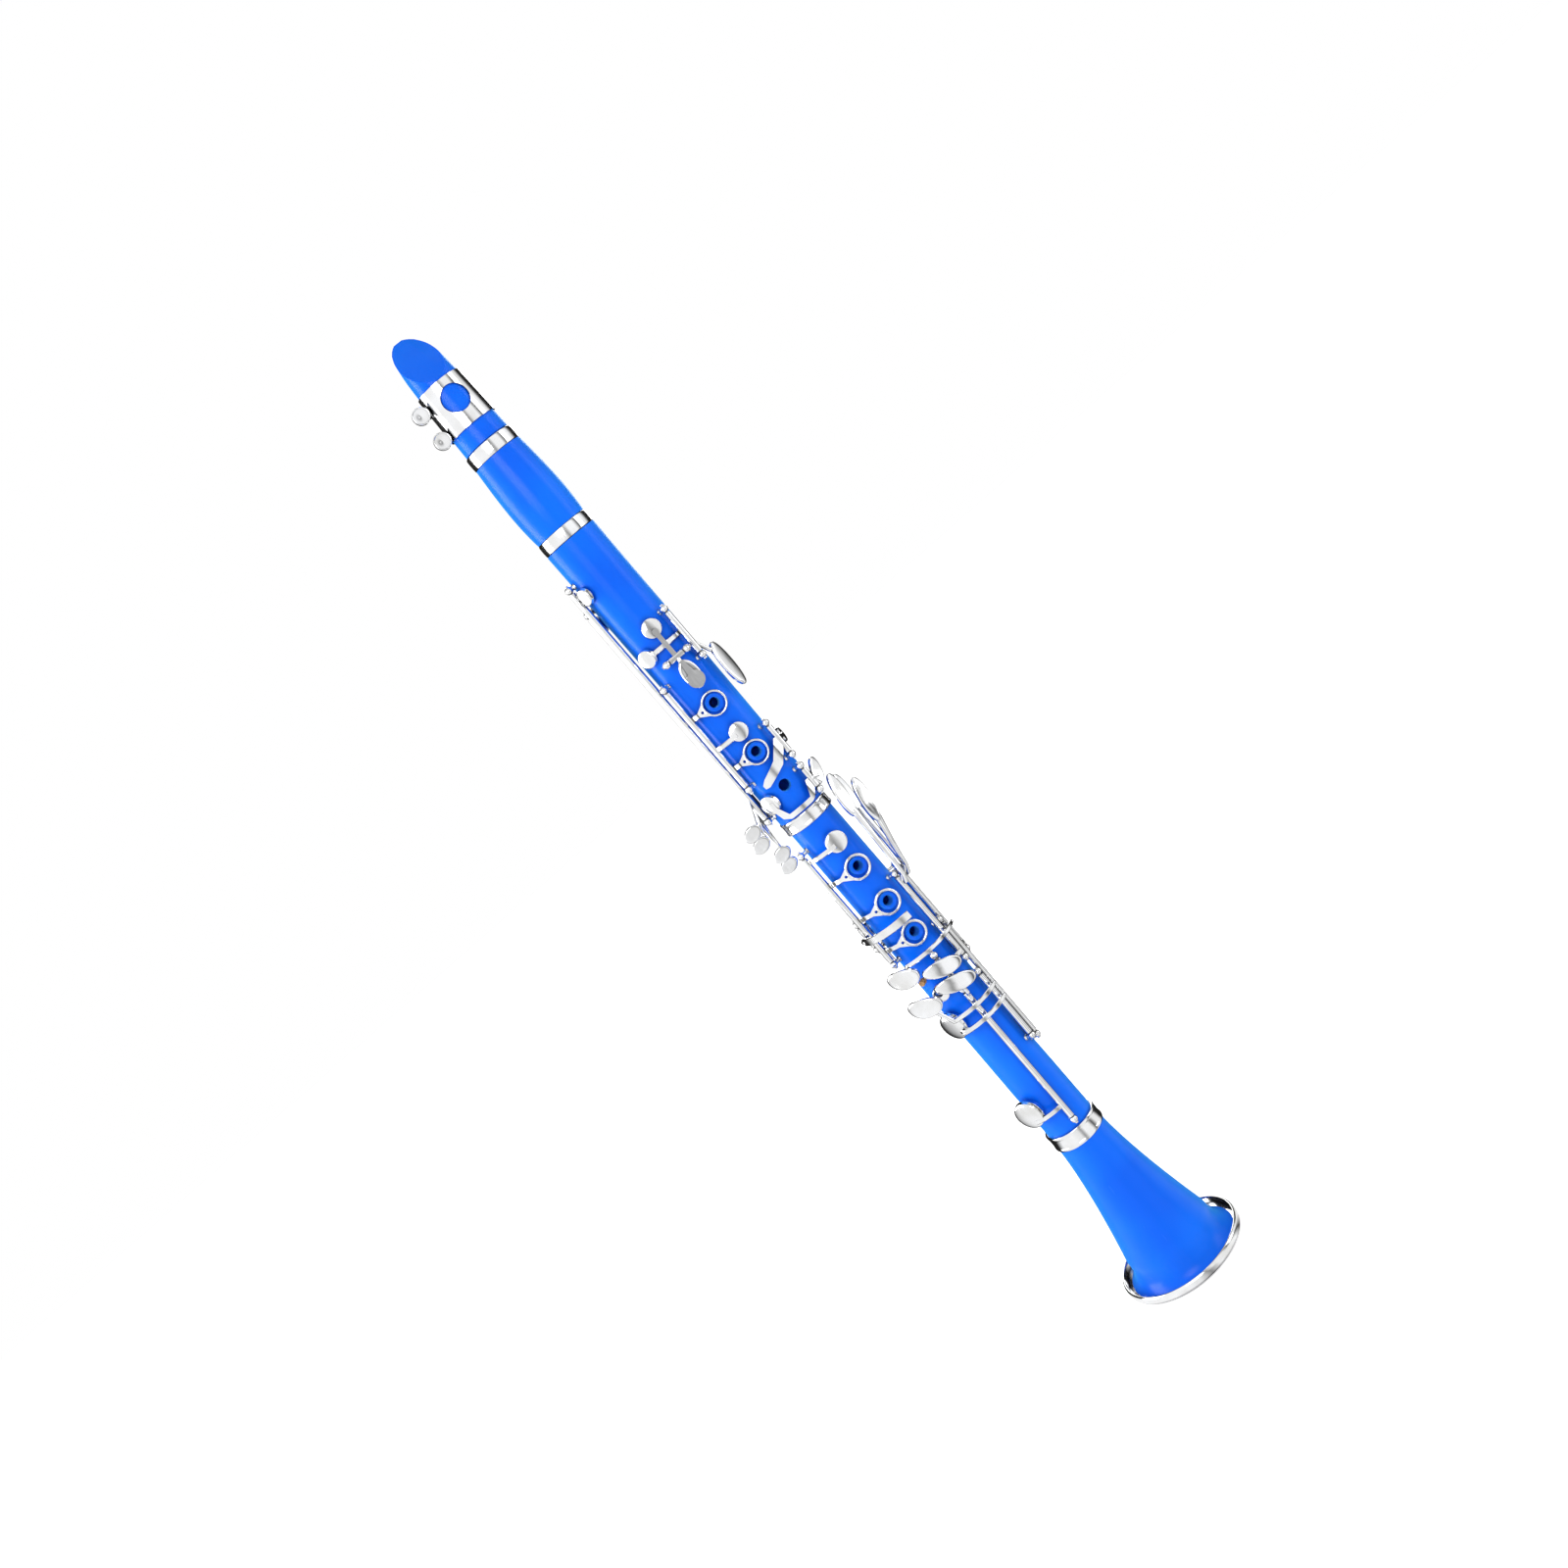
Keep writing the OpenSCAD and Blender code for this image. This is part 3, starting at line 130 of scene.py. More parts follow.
def mouldedAbs(name, shade, light):
    material, tree, shader = newMaterial(name, {
        "Roughness": plastic["roughness"], "IOR": 1.5, "Specular IOR Level": 0.16,
        "Sheen Weight": 0.75, "Sheen Roughness": 0.45, "Sheen Tint": linear("#58ccff")})
    place = objectCoordinates(tree, (1, 1, 1))
    cloud = addNode(tree, "ShaderNodeTexNoise", {"Scale": 1000 / 45, "Detail": 2.0}, {"Vector": place})
    colour = rampNode(tree, cloud.outputs["Fac"], [(0.35, linear(shade)), (0.65, linear(light))])
    # painted shade: the blue turns navy where keys and posts crowd the body
    shaded = paintedCrowdShade(tree, colour.outputs["Color"], 5.0, "#6f7fb4", (0.25, 0.85))
    tree.links.new(shaded, shader.inputs["Base Color"])
    streak = objectCoordinates(tree, (1, 1, 0.12))   # buffing marks run along the tube
    wipe = addNode(tree, "ShaderNodeTexNoise", {"Scale": 1000 / plastic["wipe"], "Detail": 3.0}, {"Vector": streak})
    gloss = rampNode(tree, wipe.outputs["Fac"], [(0.3, grey(plastic["roughness"] - 0.01)),
                                                 (0.75, grey(plastic["roughness"] + 0.015))])
    tree.links.new(gloss.outputs["Color"], shader.inputs["Roughness"])
    peel = addNode(tree, "ShaderNodeTexNoise", {"Scale": 1000 / plastic["orangePeel"], "Detail": 1.0}, {"Vector": place})
    tree.links.new(bumpNormal(tree, peel.outputs["Fac"], 0.05, 0.12), shader.inputs["Normal"])
    return material


# Nickel silver, cast and buffed, then plated: bright, with soft wipe marks and painted shade in the corners
metal = dict(bright="#f0f1f3", warm="#e0e0df", corner="#45484f", roughness=0.12, wipe=1.2)


def buffedNickel(name):
    material, tree, shader = newMaterial(name, {"Metallic": 1.0})
    place = objectCoordinates(tree, (1, 1, 1))
    cloud = addNode(tree, "ShaderNodeTexNoise", {"Scale": 1000 / 14, "Detail": 3.0}, {"Vector": place})
    tone = rampNode(tree, cloud.outputs["Fac"], [(0.35, linear(metal["bright"])), (0.7, linear(metal["warm"]))])
    # painted shade: the base colour darkens to the corner grey where pieces stand close
    tree.links.new(paintedCrowdShade(tree, tone.outputs["Color"], 3.0, metal["corner"], (0.3, 0.9)), shader.inputs["Base Color"])
    streak = objectCoordinates(tree, (1, 1, 0.2))
    wipe = addNode(tree, "ShaderNodeTexNoise", {"Scale": 1000 / metal["wipe"], "Detail": 4.0}, {"Vector": streak})
    gloss = rampNode(tree, wipe.outputs["Fac"], [(0.3, grey(metal["roughness"] - 0.05)),
                                                 (0.75, grey(metal["roughness"] + 0.07))])
    tree.links.new(gloss.outputs["Color"], shader.inputs["Roughness"])
    tree.links.new(bumpNormal(tree, wipe.outputs["Fac"], 0.03, 0.03), shader.inputs["Normal"])
    return material


# Waxed sheet cork: tan with darker grains about a millimetre across
corkLook = dict(light="#c89a63", dark="#7a5230", grain=1.1)


def sheetCork():
    material, tree, shader = newMaterial("waxedCork", {"Roughness": 0.6, "IOR": 1.45})
    place = objectCoordinates(tree, (1, 1, 1))
    grain = addNode(tree, "ShaderNodeTexVoronoi", {"Scale": 1000 / corkLook["grain"]}, {"Vector": place})
    speck = addNode(tree, "ShaderNodeTexNoise", {"Scale": 1000 / 2.5, "Detail": 5.0}, {"Vector": place})
    blend = addNode(tree, "ShaderNodeMath", links={0: grain.outputs["Distance"], 1: speck.outputs["Fac"]},
                    operation="MULTIPLY")
    colour = rampNode(tree, blend.outputs["Value"], [(0.05, linear(corkLook["dark"])), (0.3, linear(corkLook["light"]))])
    tree.links.new(colour.outputs["Color"], shader.inputs["Base Color"])
    tree.links.new(bumpNormal(tree, blend.outputs["Value"], 0.3, 0.2), shader.inputs["Normal"])
    return material


# Bladder skin stretched over felt: off-white, thin, with fine creases
def skinPad():
    material, tree, shader = newMaterial("skinPad", {"Roughness": 0.42, "IOR": 1.45, "Subsurface Weight": 0.08})
    place = objectCoordinates(tree, (1, 1, 1))
    crease = addNode(tree, "ShaderNodeTexNoise", {"Scale": 1000 / 1.8, "Detail": 6.0, "Distortion": 1.5}, {"Vector": place})
    colour = rampNode(tree, crease.outputs["Fac"], [(0.3, linear("#e6dfcf")), (0.7, linear("#faf8f1"))])
    tree.links.new(colour.outputs["Color"], shader.inputs["Base Color"])
    tree.links.new(bumpNormal(tree, crease.outputs["Fac"], 0.15, 0.15), shader.inputs["Normal"])
    return material


# Cut cane: straw yellow with long fibres, about 0.4 mm apart, along the reed
def cutCane():
    material, tree, shader = newMaterial("cutCane", {"Roughness": 0.5, "IOR": 1.45, "Subsurface Weight": 0.05})
    along = objectCoordinates(tree, (1, 1, 0.02))
    fibre = addNode(tree, "ShaderNodeTexNoise", {"Scale": 1000 / 0.4, "Detail": 3.0}, {"Vector": along})
    colour = rampNode(tree, fibre.outputs["Fac"], [(0.3, linear("#c6a562")), (0.55, linear("#ead6a0")),
                                                  (0.8, linear("#f3e6bd"))])
    tree.links.new(colour.outputs["Color"], shader.inputs["Base Color"])
    tree.links.new(bumpNormal(tree, fibre.outputs["Fac"], 0.2, 0.05), shader.inputs["Normal"])
    return material


# Heat-blued spring wire: dark blue with straw patches where it was hotter
def bluedSteel():
    material, tree, shader = newMaterial("bluedSteel", {"Metallic": 1.0, "Roughness": 0.28})
    place = objectCoordinates(tree, (1, 1, 1))
    heat = addNode(tree, "ShaderNodeTexNoise", {"Scale": 1000 / 8, "Detail": 2.0}, {"Vector": place})
    colour = rampNode(tree, heat.outputs["Fac"], [(0.35, linear("#1d2c4c")), (0.7, linear("#51607e"))])
    tree.links.new(colour.outputs["Color"], shader.inputs["Base Color"])
    return material


bluePlastic = mouldedAbs("mouldedAbs", plastic["shade"], plastic["light"])
nickel = buffedNickel("buffedNickel")
finishes = {"body_blue": bluePlastic, "nickel": nickel, "cork": sheetCork(), "pad_skin": skinPad(),
            "cane": cutCane(), "spring_steel": bluedSteel()}
for row in frame["record"]["subparts"]:
    part = nodes[row["node"]]
    part.data.materials.clear()
    part.data.materials.append(finishes[row["material_slot"]])
print("materials are on the frame")


def finishPiece(piece, name, body, slot, place=None, angle=38):
    piece.name = piece.data.name = name
    if place is not None:
        piece.data.transform(place)
    deselectAll()
    piece.select_set(True)
    bpy.context.view_layer.objects.active = piece
    bpy.ops.object.shade_smooth_by_angle(angle=math.radians(angle))
    piece.data.materials.clear()
    piece.data.materials.append(finishes[slot])
    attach(piece, body)
    return piece


def modifier(piece, kind, **settings):
    step = piece.modifiers.new(kind.lower(), kind)
    for key, value in settings.items():
        setattr(step, key, value)
    deselectAll()
    piece.select_set(True)
    bpy.context.view_layer.objects.active = piece
    bpy.ops.object.modifier_apply(modifier=step.name)


def turnedShape(profile, segments=96, closed=False):  # rings of radius, height and how narrow the ring is across
    profile = [(max(point[0], 0.001), point[1], point[2] if len(point) > 2 else 1.0) for point in profile]
    radius, height, narrow = profile[0]
    deselectAll()
    bpy.ops.mesh.primitive_circle_add(vertices=segments, radius=mm(radius), location=(0, 0, mm(height)))
    bpy.ops.object.transform_apply(location=True)
    bpy.ops.object.mode_set(mode="EDIT")
    bpy.ops.mesh.select_all(action="SELECT")
    bpy.ops.transform.resize(value=(narrow, 1, 1), center_override=(0, 0, mm(height)))
    if not closed and radius > 0.01:
        bpy.ops.mesh.edge_face_add()
    for nextRadius, nextHeight, nextNarrow in profile[1:] + (profile[:1] if closed else []):
        bpy.ops.mesh.extrude_region_move(TRANSFORM_OT_translate={"value": (0, 0, mm(nextHeight - height))})
        ratio = nextRadius / radius
        bpy.ops.transform.resize(value=(ratio * nextNarrow / narrow, ratio, 1), center_override=(0, 0, mm(nextHeight)))
        radius, height, narrow = nextRadius, nextHeight, nextNarrow
    bpy.ops.mesh.select_all(action="SELECT")
    bpy.ops.mesh.remove_doubles(threshold=mm(0.004))
    bpy.ops.mesh.normals_make_consistent(inside=False)
    bpy.ops.object.mode_set(mode="OBJECT")
    return bpy.context.object


def onBody(height, angle, out):  # local z points away from the air column
    return (Matrix.Rotation(math.radians(angle), 4, "Z") @ Matrix.Translation((0, -mm(out), mm(height)))
            @ Matrix.Rotation(math.radians(90), 4, "X"))


lowerTurn = 6.0
openAtRest = {"upper_ring": 5, "lower_ring": 5, "low_e": 8, "low_f": 5, "low_fsharp": 9, "thumb_ring": 7}
hinges = {joint["child"]: joint for joint in frame["joints"]}


def restTurn(body):  # a key that stands open is drawn shut and then turned about its rod
    if body not in openAtRest:
        return Matrix.Identity(4)
    pivot, axis = Vector(hinges[body]["pos_m"]), Vector(hinges[body]["axis"])
    turn = Matrix.Rotation(math.radians(-openAtRest[body]), 4, axis)
    return Matrix.Translation(pivot) @ turn @ Matrix.Translation(-pivot)


# the two joints of the body: foot and length of each tube, and its radius at foot and top
joints = dict(split=342, upper=(342, 189, 14.7, 15.8), lower=(107, 235, 15.0, 13.8))


def bodyRadius(height):
    foot, length, footRadius, topRadius = joints["upper" if height > joints["split"] else "lower"]
    return footRadius + (topRadius - footRadius) * (height - foot) / length


# Bell: a thin flared wall with a rolled lip, a plated rim ring and a beaded socket ring
bell = dict(socket=97.0, lip=17.0, lipRadius=28.2, rim=39.5, wall=3.0, throat=15.6)


def lipCurl(z):  # 0 at the start of the lip, 1 at the rim
    return 1 - math.sqrt(max(0, 1 - ((bell["lip"] - z) / bell["lip"]) ** 2.6))


def bellOutside(z):
    if z > bell["lip"]:
        flare = ((bell["socket"] - z) / (bell["socket"] - bell["lip"])) ** 1.45
        return bell["throat"] + (bell["lipRadius"] - bell["throat"]) * flare
    return bell["lipRadius"] + (bell["rim"] - 1.3 - bell["lipRadius"]) * lipCurl(z)


def bellInside(z):
    lipIn = bell["lipRadius"] - bell["wall"]
    if z > bell["lip"]:
        return 11 + (lipIn - 11) * ((66 - z) / (66 - bell["lip"])) ** 1.15
    return lipIn + (bell["rim"] - bell["wall"] - lipIn) * lipCurl(z)


heights = [97 - 80 * i / 26 for i in range(26)] + [17 * (1 - (i / 14) ** 0.8) for i in range(14)] + [0.6]
outside = [(bellOutside(z), z) for z in heights]
inside = [(bellInside(z), z) for z in sorted(heights) if z < 65]
bellPiece = turnedShape([(15.2, 107), (15.2, 97)] + outside + inside
                        + [(11, 66), (11, 88.5), (12.15, 88.5), (12.15, 107)], 128, closed=True)
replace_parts(finishPiece(bellPiece, "bellShell", "body", "body_blue"), "bell")


def beadedBand(inner, outer, bottom, top, bead):  # a flat band with a round bead along each edge
    points = [(inner, bottom), (outer - 0.35, bottom)]
    for start in (bottom, top - bead):
        points += [(outer - 0.35 * (1 - sine(a)), start + bead / 2 * (1 - cosine(a))) for a in range(15, 180, 30)]
        if start == bottom:
            points += [(outer - 0.32, bottom + bead * 1.08), (outer - 0.32, top - bead * 1.08)]
    return points + [(outer - 0.35, top), (inner, top)]


def plainBand(inner, outer, bottom, top, edge):  # rounded edges and a slightly full middle
    corner = [(outer - edge * (1 - sine(a)), bottom + edge * (1 - cosine(a))) for a in (0, 30, 60, 90)]
    middle = [(outer + 0.12 * math.sin(math.pi * t), bottom + edge + (top - bottom - 2 * edge) * t)
              for t in (0.2, 0.4, 0.6, 0.8)]
    upper = [(outer - edge * (1 - cosine(a)), top - edge * (1 - sine(a))) for a in (0, 30, 60, 90)]
    return [(inner, bottom)] + corner + middle + upper + [(inner, top)]


bands = {
    "bellSocketBand": ("body", "bell_socket_ring", [beadedBand(15.25, 16.65, 97.05, 107, 2.0)]),
    "jointBand": ("body", "lower_joint_ring", [beadedBand(13.9, 15.35, 334.5, 342, 1.6)]),
    "barrelBands": ("barrel", "barrel_rings", [plainBand(13.45, 15.7, 531.1, 538.55, 0.7),
                                               plainBand(12.85, 14.8, 588.05, 596, 0.7)]),
}
for name, (body, node, profiles) in bands.items():
    made = [turnedShape(profile, 128, closed=True) for profile in profiles]
    deselectAll()
    for piece in made:
        piece.select_set(True)
    bpy.context.view_layer.objects.active = made[0]
    if len(made) > 1:
        bpy.ops.object.join()
    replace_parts(finishPiece(made[0], name, body, "nickel", angle=50), node)

rimOut, rimHigh = 39.5, 5.6
rimBead = [(rimOut - 1.35 + 1.35 * cosine(a), rimHigh / 2 + rimHigh / 2 * sine(a)) for a in range(-90, 100, 15)]
rim = turnedShape([(35.1, 0.0)] + rimBead + [(37.9, 5.45), (38.25, 0.58), (35.1, 0.58)], 160, closed=True)
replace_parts(finishPiece(rim, "bellRimBead", "body", "nickel", angle=50), "bell_rim_ring")

# Barrel: a bulged tube, fullest a little below its middle
barrelBulge = [(15.4 - 0.8 * t + 1.3 * math.sin(math.pi * t ** 0.8), 538.6 + 49.4 * t) for t in [i / 20 for i in range(21)]]
barrelPiece = turnedShape([(12.15, 531.1), (13.4, 531.1), (13.4, 538.6)] + barrelBulge
                          + [(12.8, 588), (12.8, 596), (12.15, 596), (12.15, 577.5), (7.4, 577.5), (7.4, 549.6), (12.15, 549.6)],
                          128, closed=True)
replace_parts(finishPiece(barrelPiece, "barrelShell", "barrel", "body_blue"), "barrel")
print("turned pieces are made")

# Mouthpiece: a tapered round body, cut by the sloping beak in front and by the reed's table behind
mouth = dict(base=596.0, start=39.0, radius=13.9, taper=1.3, table=10.6, tip=1.1, length=69.0, turn=6.0)
beakNarrow = [(-20, 1.0), (39, 1.0), (50, 0.95), (60, 0.86), (65, 0.77), (67.5, 0.66), (69, 0.5)]


def between(table, x):
    for (x0, y0), (x1, y1) in zip(table, table[1:]):
        if x <= x1:
            return y0 + (y1 - y0) * (x - x0) / (x1 - x0)
    return table[-1][1]


def mouthRadius(h):
    if h < mouth["start"]:
        return mouth["radius"] - mouth["taper"] * h / mouth["start"]
    return (mouth["radius"] - mouth["taper"]) * math.sqrt(1 - 0.2 * ((h - mouth["start"]) / 30) ** 2.2)


profile = [(11.2, mouth["base"] - 17.9), (11.3, mouth["base"] - 17.4), (11.3, mouth["base"] + 0.1)]
profile += [(mouthRadius(0) - 0.4, mouth["base"] + 0.1), (mouthRadius(0), mouth["base"] + 0.5)]
profile += [(mouthRadius(h), mouth["base"] + h, between(beakNarrow, h)) for h in [1 + i * 2 for i in range(34)]]
profile += [(mouthRadius(68) * 0.985, mouth["base"] + 68.2, between(beakNarrow, 68.2)),
            (mouthRadius(67) * 0.94, mouth["base"] + 69, between(beakNarrow, 69)), (0, mouth["base"] + 69)]
mouthPiece = turnedShape(profile, 128)
beakDepth = mouth["table"] + mouth["radius"] - mouth["taper"] - mouth["tip"]
slope = math.atan(beakDepth / (mouth["length"] - mouth["start"]))
bpy.ops.object.mode_set(mode="EDIT")
beakStart = (0, -mm(mouth["radius"] - mouth["taper"]), mm(mouth["base"] + mouth["start"]))
tableTop = (0, mm(mouth["table"]), mm(mouth["base"] + 30))
for point, normal in ((beakStart, (0, -math.cos(slope), math.sin(slope))), (tableTop, (0, 1, 0))):
    bpy.ops.mesh.select_all(action="SELECT")
    bpy.ops.mesh.bisect(plane_co=point, plane_no=normal, use_fill=True, clear_outer=True)
bpy.ops.mesh.select_all(action="SELECT")
bpy.ops.mesh.normals_make_consistent(inside=False)
bpy.ops.object.mode_set(mode="OBJECT")
modifier(mouthPiece, "BEVEL", width=mm(0.5), segments=3, limit_method="ANGLE", angle_limit=math.radians(32))
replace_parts(finishPiece(mouthPiece, "mouthpieceBody", "mouthpiece", "body_blue",
                        Matrix.Rotation(math.radians(mouth["turn"]), 4, "Z"), angle=30), "mouthpiece")

# Reed: a cane blade, flat on the table, with a rounded back and a vamp cut down to a thin tip
reed = dict(heel=7.0, vamp=33.0, width=13.0, thick=2.9, tip=0.4, tipWidth=0.8, length=61.5)
deselectAll()
bpy.ops.mesh.primitive_cube_add(size=1.0, location=(0, mm(mouth["table"] + 0.05 + reed["thick"] / 2),
                                                   mm(mouth["base"] + reed["heel"] + reed["length"] / 2)),
                                scale=(mm(reed["width"]), mm(reed["thick"]), mm(reed["length"])))
bpy.ops.object.transform_apply(location=True, rotation=True, scale=True)
reedPiece = bpy.context.object
bpy.ops.object.mode_set(mode="EDIT")
reedTop = mouth["base"] + reed["heel"] + reed["length"]
vampLean = math.atan((reed["thick"] - reed["tip"]) / (reedTop - mouth["base"] - reed["vamp"]))
bpy.ops.mesh.select_all(action="SELECT")
bpy.ops.mesh.bisect(plane_co=(0, mm(mouth["table"] + 0.05 + reed["tip"]), mm(reedTop)),
                    plane_no=(0, math.cos(vampLean), math.sin(vampLean)), use_fill=True, clear_outer=True)
for side in (-1, 1):  # the back is rounded by two shallow cuts along each edge
    for lean, level in ((62, 0.72), (35, 0.42)):
        bpy.ops.mesh.select_all(action="SELECT")
        edge = (side * mm(reed["width"] / 2), mm(mouth["table"] + 0.05 + reed["thick"] * (1 - level)), 0)
        bpy.ops.mesh.bisect(plane_co=edge, plane_no=(side * cosine(lean), sine(lean), 0),
                            use_fill=True, clear_outer=True)
    bpy.ops.mesh.select_all(action="SELECT")
    bpy.ops.mesh.bisect(plane_co=(side * mm(reed["width"] / 2), 0, mm(reedTop - 16)), plane_no=(side * 0.993, 0, 0.116),
                        use_fill=True, clear_outer=True)
    bpy.ops.mesh.select_all(action="SELECT")
    bpy.ops.mesh.bisect(plane_co=(side * mm(reed["width"] / 2 - 1.9), 0, mm(reedTop - 1.6)),
                        plane_no=(side * 0.62, 0, 0.785), use_fill=True, clear_outer=True)
bpy.ops.mesh.select_all(action="SELECT")
bpy.ops.mesh.normals_make_consistent(inside=False)
bpy.ops.object.mode_set(mode="OBJECT")
modifier(reedPiece, "BEVEL", width=mm(0.15), segments=2, limit_method="ANGLE", angle_limit=math.radians(30))
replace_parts(finishPiece(reedPiece, "reedBlade", "mouthpiece", "cane",
                        Matrix.Rotation(math.radians(mouth["turn"]), 4, "Z")), "reed")

# Ligature thumbscrews: thin round heads with a raised rim, on plain shanks
for name, height in (("upper", 30.5), ("lower", 14.2)):
    head = turnedShape([(0, 8.4), (1.05, 8.4), (1.05, 0.9), (1.9, 0.5), (2.4, 0.3), (3.95, 0.25), (4.15, 0.5), (4.45, 0.62), (4.68, 0.45), (4.75, 0.0),
                        (4.75, -1.0), (4.68, -1.45), (4.45, -1.62), (4.15, -1.5), (3.95, -1.2), (2.6, -1.15), (1.2, -1.35), (0.4, -1.5), (0, -1.52)], 64)
    place = (Matrix.Rotation(math.radians(mouth["turn"]), 4, "Z")
             @ Matrix.Translation((mm(-18.6), mm(-4.9), mm(mouth["base"] + height)))
             @ Matrix.Rotation(math.radians(-90), 4, "X"))
    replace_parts(finishPiece(head, "ligatureThumbscrew" + name.capitalize(), "ligature_screw_" + name, "nickel", place),
                "ligature_screw_" + name)

# Pad cups: a drawn cap with a soft dome, one over each padded hole
cups = {
    "throat_a": ("throatACap", 468.6, 0, 5.3), "gsharp": ("gSharpCap", 457.6, -41, 5.0), "side_key_1": ("sideCap1", 503, -56, 4.8),
    "side_key_2": ("sideCap2", 487, -110, 4.8), "side_key_3": ("sideCap3", 400, -126, 4.9), "side_key_4": ("sideCap4", 378, -141, 4.9),
    "upper_ring": ("upperVentCap", 398, 0, 5.2), "eflat_sliver": ("eFlatCap", 380, 76, 4.6), "csharp": ("cSharpCap", 356, -47, 5.6),
    "register": ("registerCap", 481, 180, 3.6), "lower_ring": ("lowerVentCap", 318.8, 0, 6.0), "b_sliver": ("bSliverCap", 263.5, -127, 4.6),
    "low_e": ("lowECap", 129, -65, 8.6), "low_f": ("lowFCap", 196, -69, 8.3), "low_fsharp": ("lowFSharpCap", 216.5, -38, 4.6),
    "aflat": ("aFlatCap", 168, 101, 5.6)}
for body, (name, height, angle, r) in cups.items():
    rise = 0.55 + 0.07 * r
    dome = [(r * cosine(a) + 0.1, 3.3 + rise * sine(a) + 0.2) for a in range(10, 90, 10)]
    cap = turnedShape([(0, 3.3), (r - 0.06, 3.3), (r - 0.06, 1.38), (r + 0.05, 1.3), (r + 0.22, 1.4), (r + 0.26, 1.6), (r + 0.14, 1.85),
                       (r + 0.12, 3.2)] + dome + [(0, 3.5 + rise)], 56)
    turn = lowerTurn if height < joints["split"] else 0.0
    place = restTurn(body) @ onBody(height, angle + turn, bodyRadius(height))
    finishPiece(cap, name, body, "nickel", place, angle=50)

# Finger rings: drawn wire rings round the chimneys
rings = {"upper_ring": [(417.7, 7.1), (383.5, 7.1)], "lower_ring": [(300.3, 7.4), (274.9, 7.4), (252.3, 7.4)]}
for body, places in rings.items():
    made = []
    for height, outer in places:
        middle, half = (outer + 6) / 2, (outer - 6) / 2 + 0.12
        loop = [(middle + half * cosine(a), 1.22 + 0.92 * sine(a)) for a in range(0, 360, 24)]
        ring = turnedShape(loop, 72, closed=True)
        turn = lowerTurn if height < joints["split"] else 0.0
        ring.data.transform(restTurn(body) @ onBody(height, turn, bodyRadius(height)))
        made.append(ring)
    deselectAll()
    for ring in made:
        ring.select_set(True)
    bpy.context.view_layer.objects.active = made[0]
    bpy.ops.object.join()
    finishPiece(made[0], "upperFingerRings" if body == "upper_ring" else "lowerFingerRings", body, "nickel", angle=60)
print("caps and rings are made")


# Touches: a dished spoon is laid over each plate, and bent round the body with it
def spoonTouch(name, body, centre, facing, length, width, tilt, bend, turn=0.0):
    edge = [(1 - 0.16 * (1 - cosine(a)), 0.35 + 0.85 * sine(a)) for a in range(0, 91, 18)]
    piece = turnedShape([(0, -0.6), (0.84, -0.6), (0.95, -0.5), (1.0, -0.1)] + edge
                        + [(0.7, 1.13), (0.5, 1.02), (0.3, 0.95), (0.12, 0.92), (0, 0.92)], 64)
    bpy.ops.object.mode_set(mode="EDIT")
    bpy.ops.mesh.select_all(action="SELECT")
    bpy.ops.transform.resize(value=(length / 2 + 0.35, width / 2 + 0.35, 1), center_override=(0, 0, 0))
    bpy.ops.object.mode_set(mode="OBJECT")
    piece.data.transform(Matrix.Rotation(math.radians(90), 4, "X") @ Matrix.Rotation(math.radians(tilt), 4, "Z"))
    across = max(v.co.x for v in piece.data.vertices) - min(v.co.x for v in piece.data.vertices)
    modifier(piece, "SIMPLE_DEFORM", deform_method="BEND", deform_axis="Z", angle=across * 1000 / bend)
    place = (restTurn(body) @ Matrix.Rotation(math.radians(turn), 4, "Z") @ Matrix.Translation([mm(c) for c in centre])
             @ Matrix.Rotation(math.radians(facing), 4, "Z"))
    return finishPiece(piece, name, body, "nickel", place, angle=60)


touches = {
    "throatALeaf": ("throat_a", (0, -22.7, 437.4), 0, 17, 9.2, 90, 60, 0),
    "gSharpTouch": ("gsharp", (19.6, -11.6, 428.5), 48, 28, 9.5, 90, 18, 0),
    "cSharpTouch": ("csharp", (18.2, -12.6, 354.1), 38, 14.9, 6.8, 62, 16, 0),
    "sideTouch1": ("side_key_1", (-29.8, -9.5, 350.3), -6, 10.5, 7.6, 12, 40, 0),
    "sideTouch2": ("side_key_2", (-29.8, -1.8, 341.2), -6, 10.5, 7.6, 12, 40, 0),
    "sideTouch3": ("side_key_3", (-24.2, 3.2, 329.0), -6, 10.5, 7.6, 12, 40, 0),
    "sideTouch4": ("side_key_4", (-24.8, 8.6, 321.0), -6, 10.5, 7.6, 12, 40, 0),
    "leftFSharpTouch": ("left_fsharp", (18.8, -14, 334.5), 30, 27, 8, 82, 22, 6),
    "leftFTouch": ("left_f", (28.6, -9, 323.0), 22, 27, 8, 80, 22, 6),
    "leftETouch": ("left_e", (25.5, 4, 329.0), 30, 27, 8, 84, 22, 6),
    "lowFSharpTouch": ("low_fsharp", (-3.4, -23.6, 229.0), -10, 23.4, 9, -18, 24, 6),
    "lowETouch": ("low_e", (-3, -23.4, 217.6), -8, 25, 9, -20, 24, 6),
    "aFlatTouch": ("aflat", (-22.6, -15.2, 237.0), -44, 19.5, 11.2, -12, 24, 6),
    "lowFTouch": ("low_f", (-24.6, -15.2, 218.0), -48, 20.5, 11.4, -14, 24, 6),
}
for name, facts in touches.items():
    spoonTouch(name, *facts)

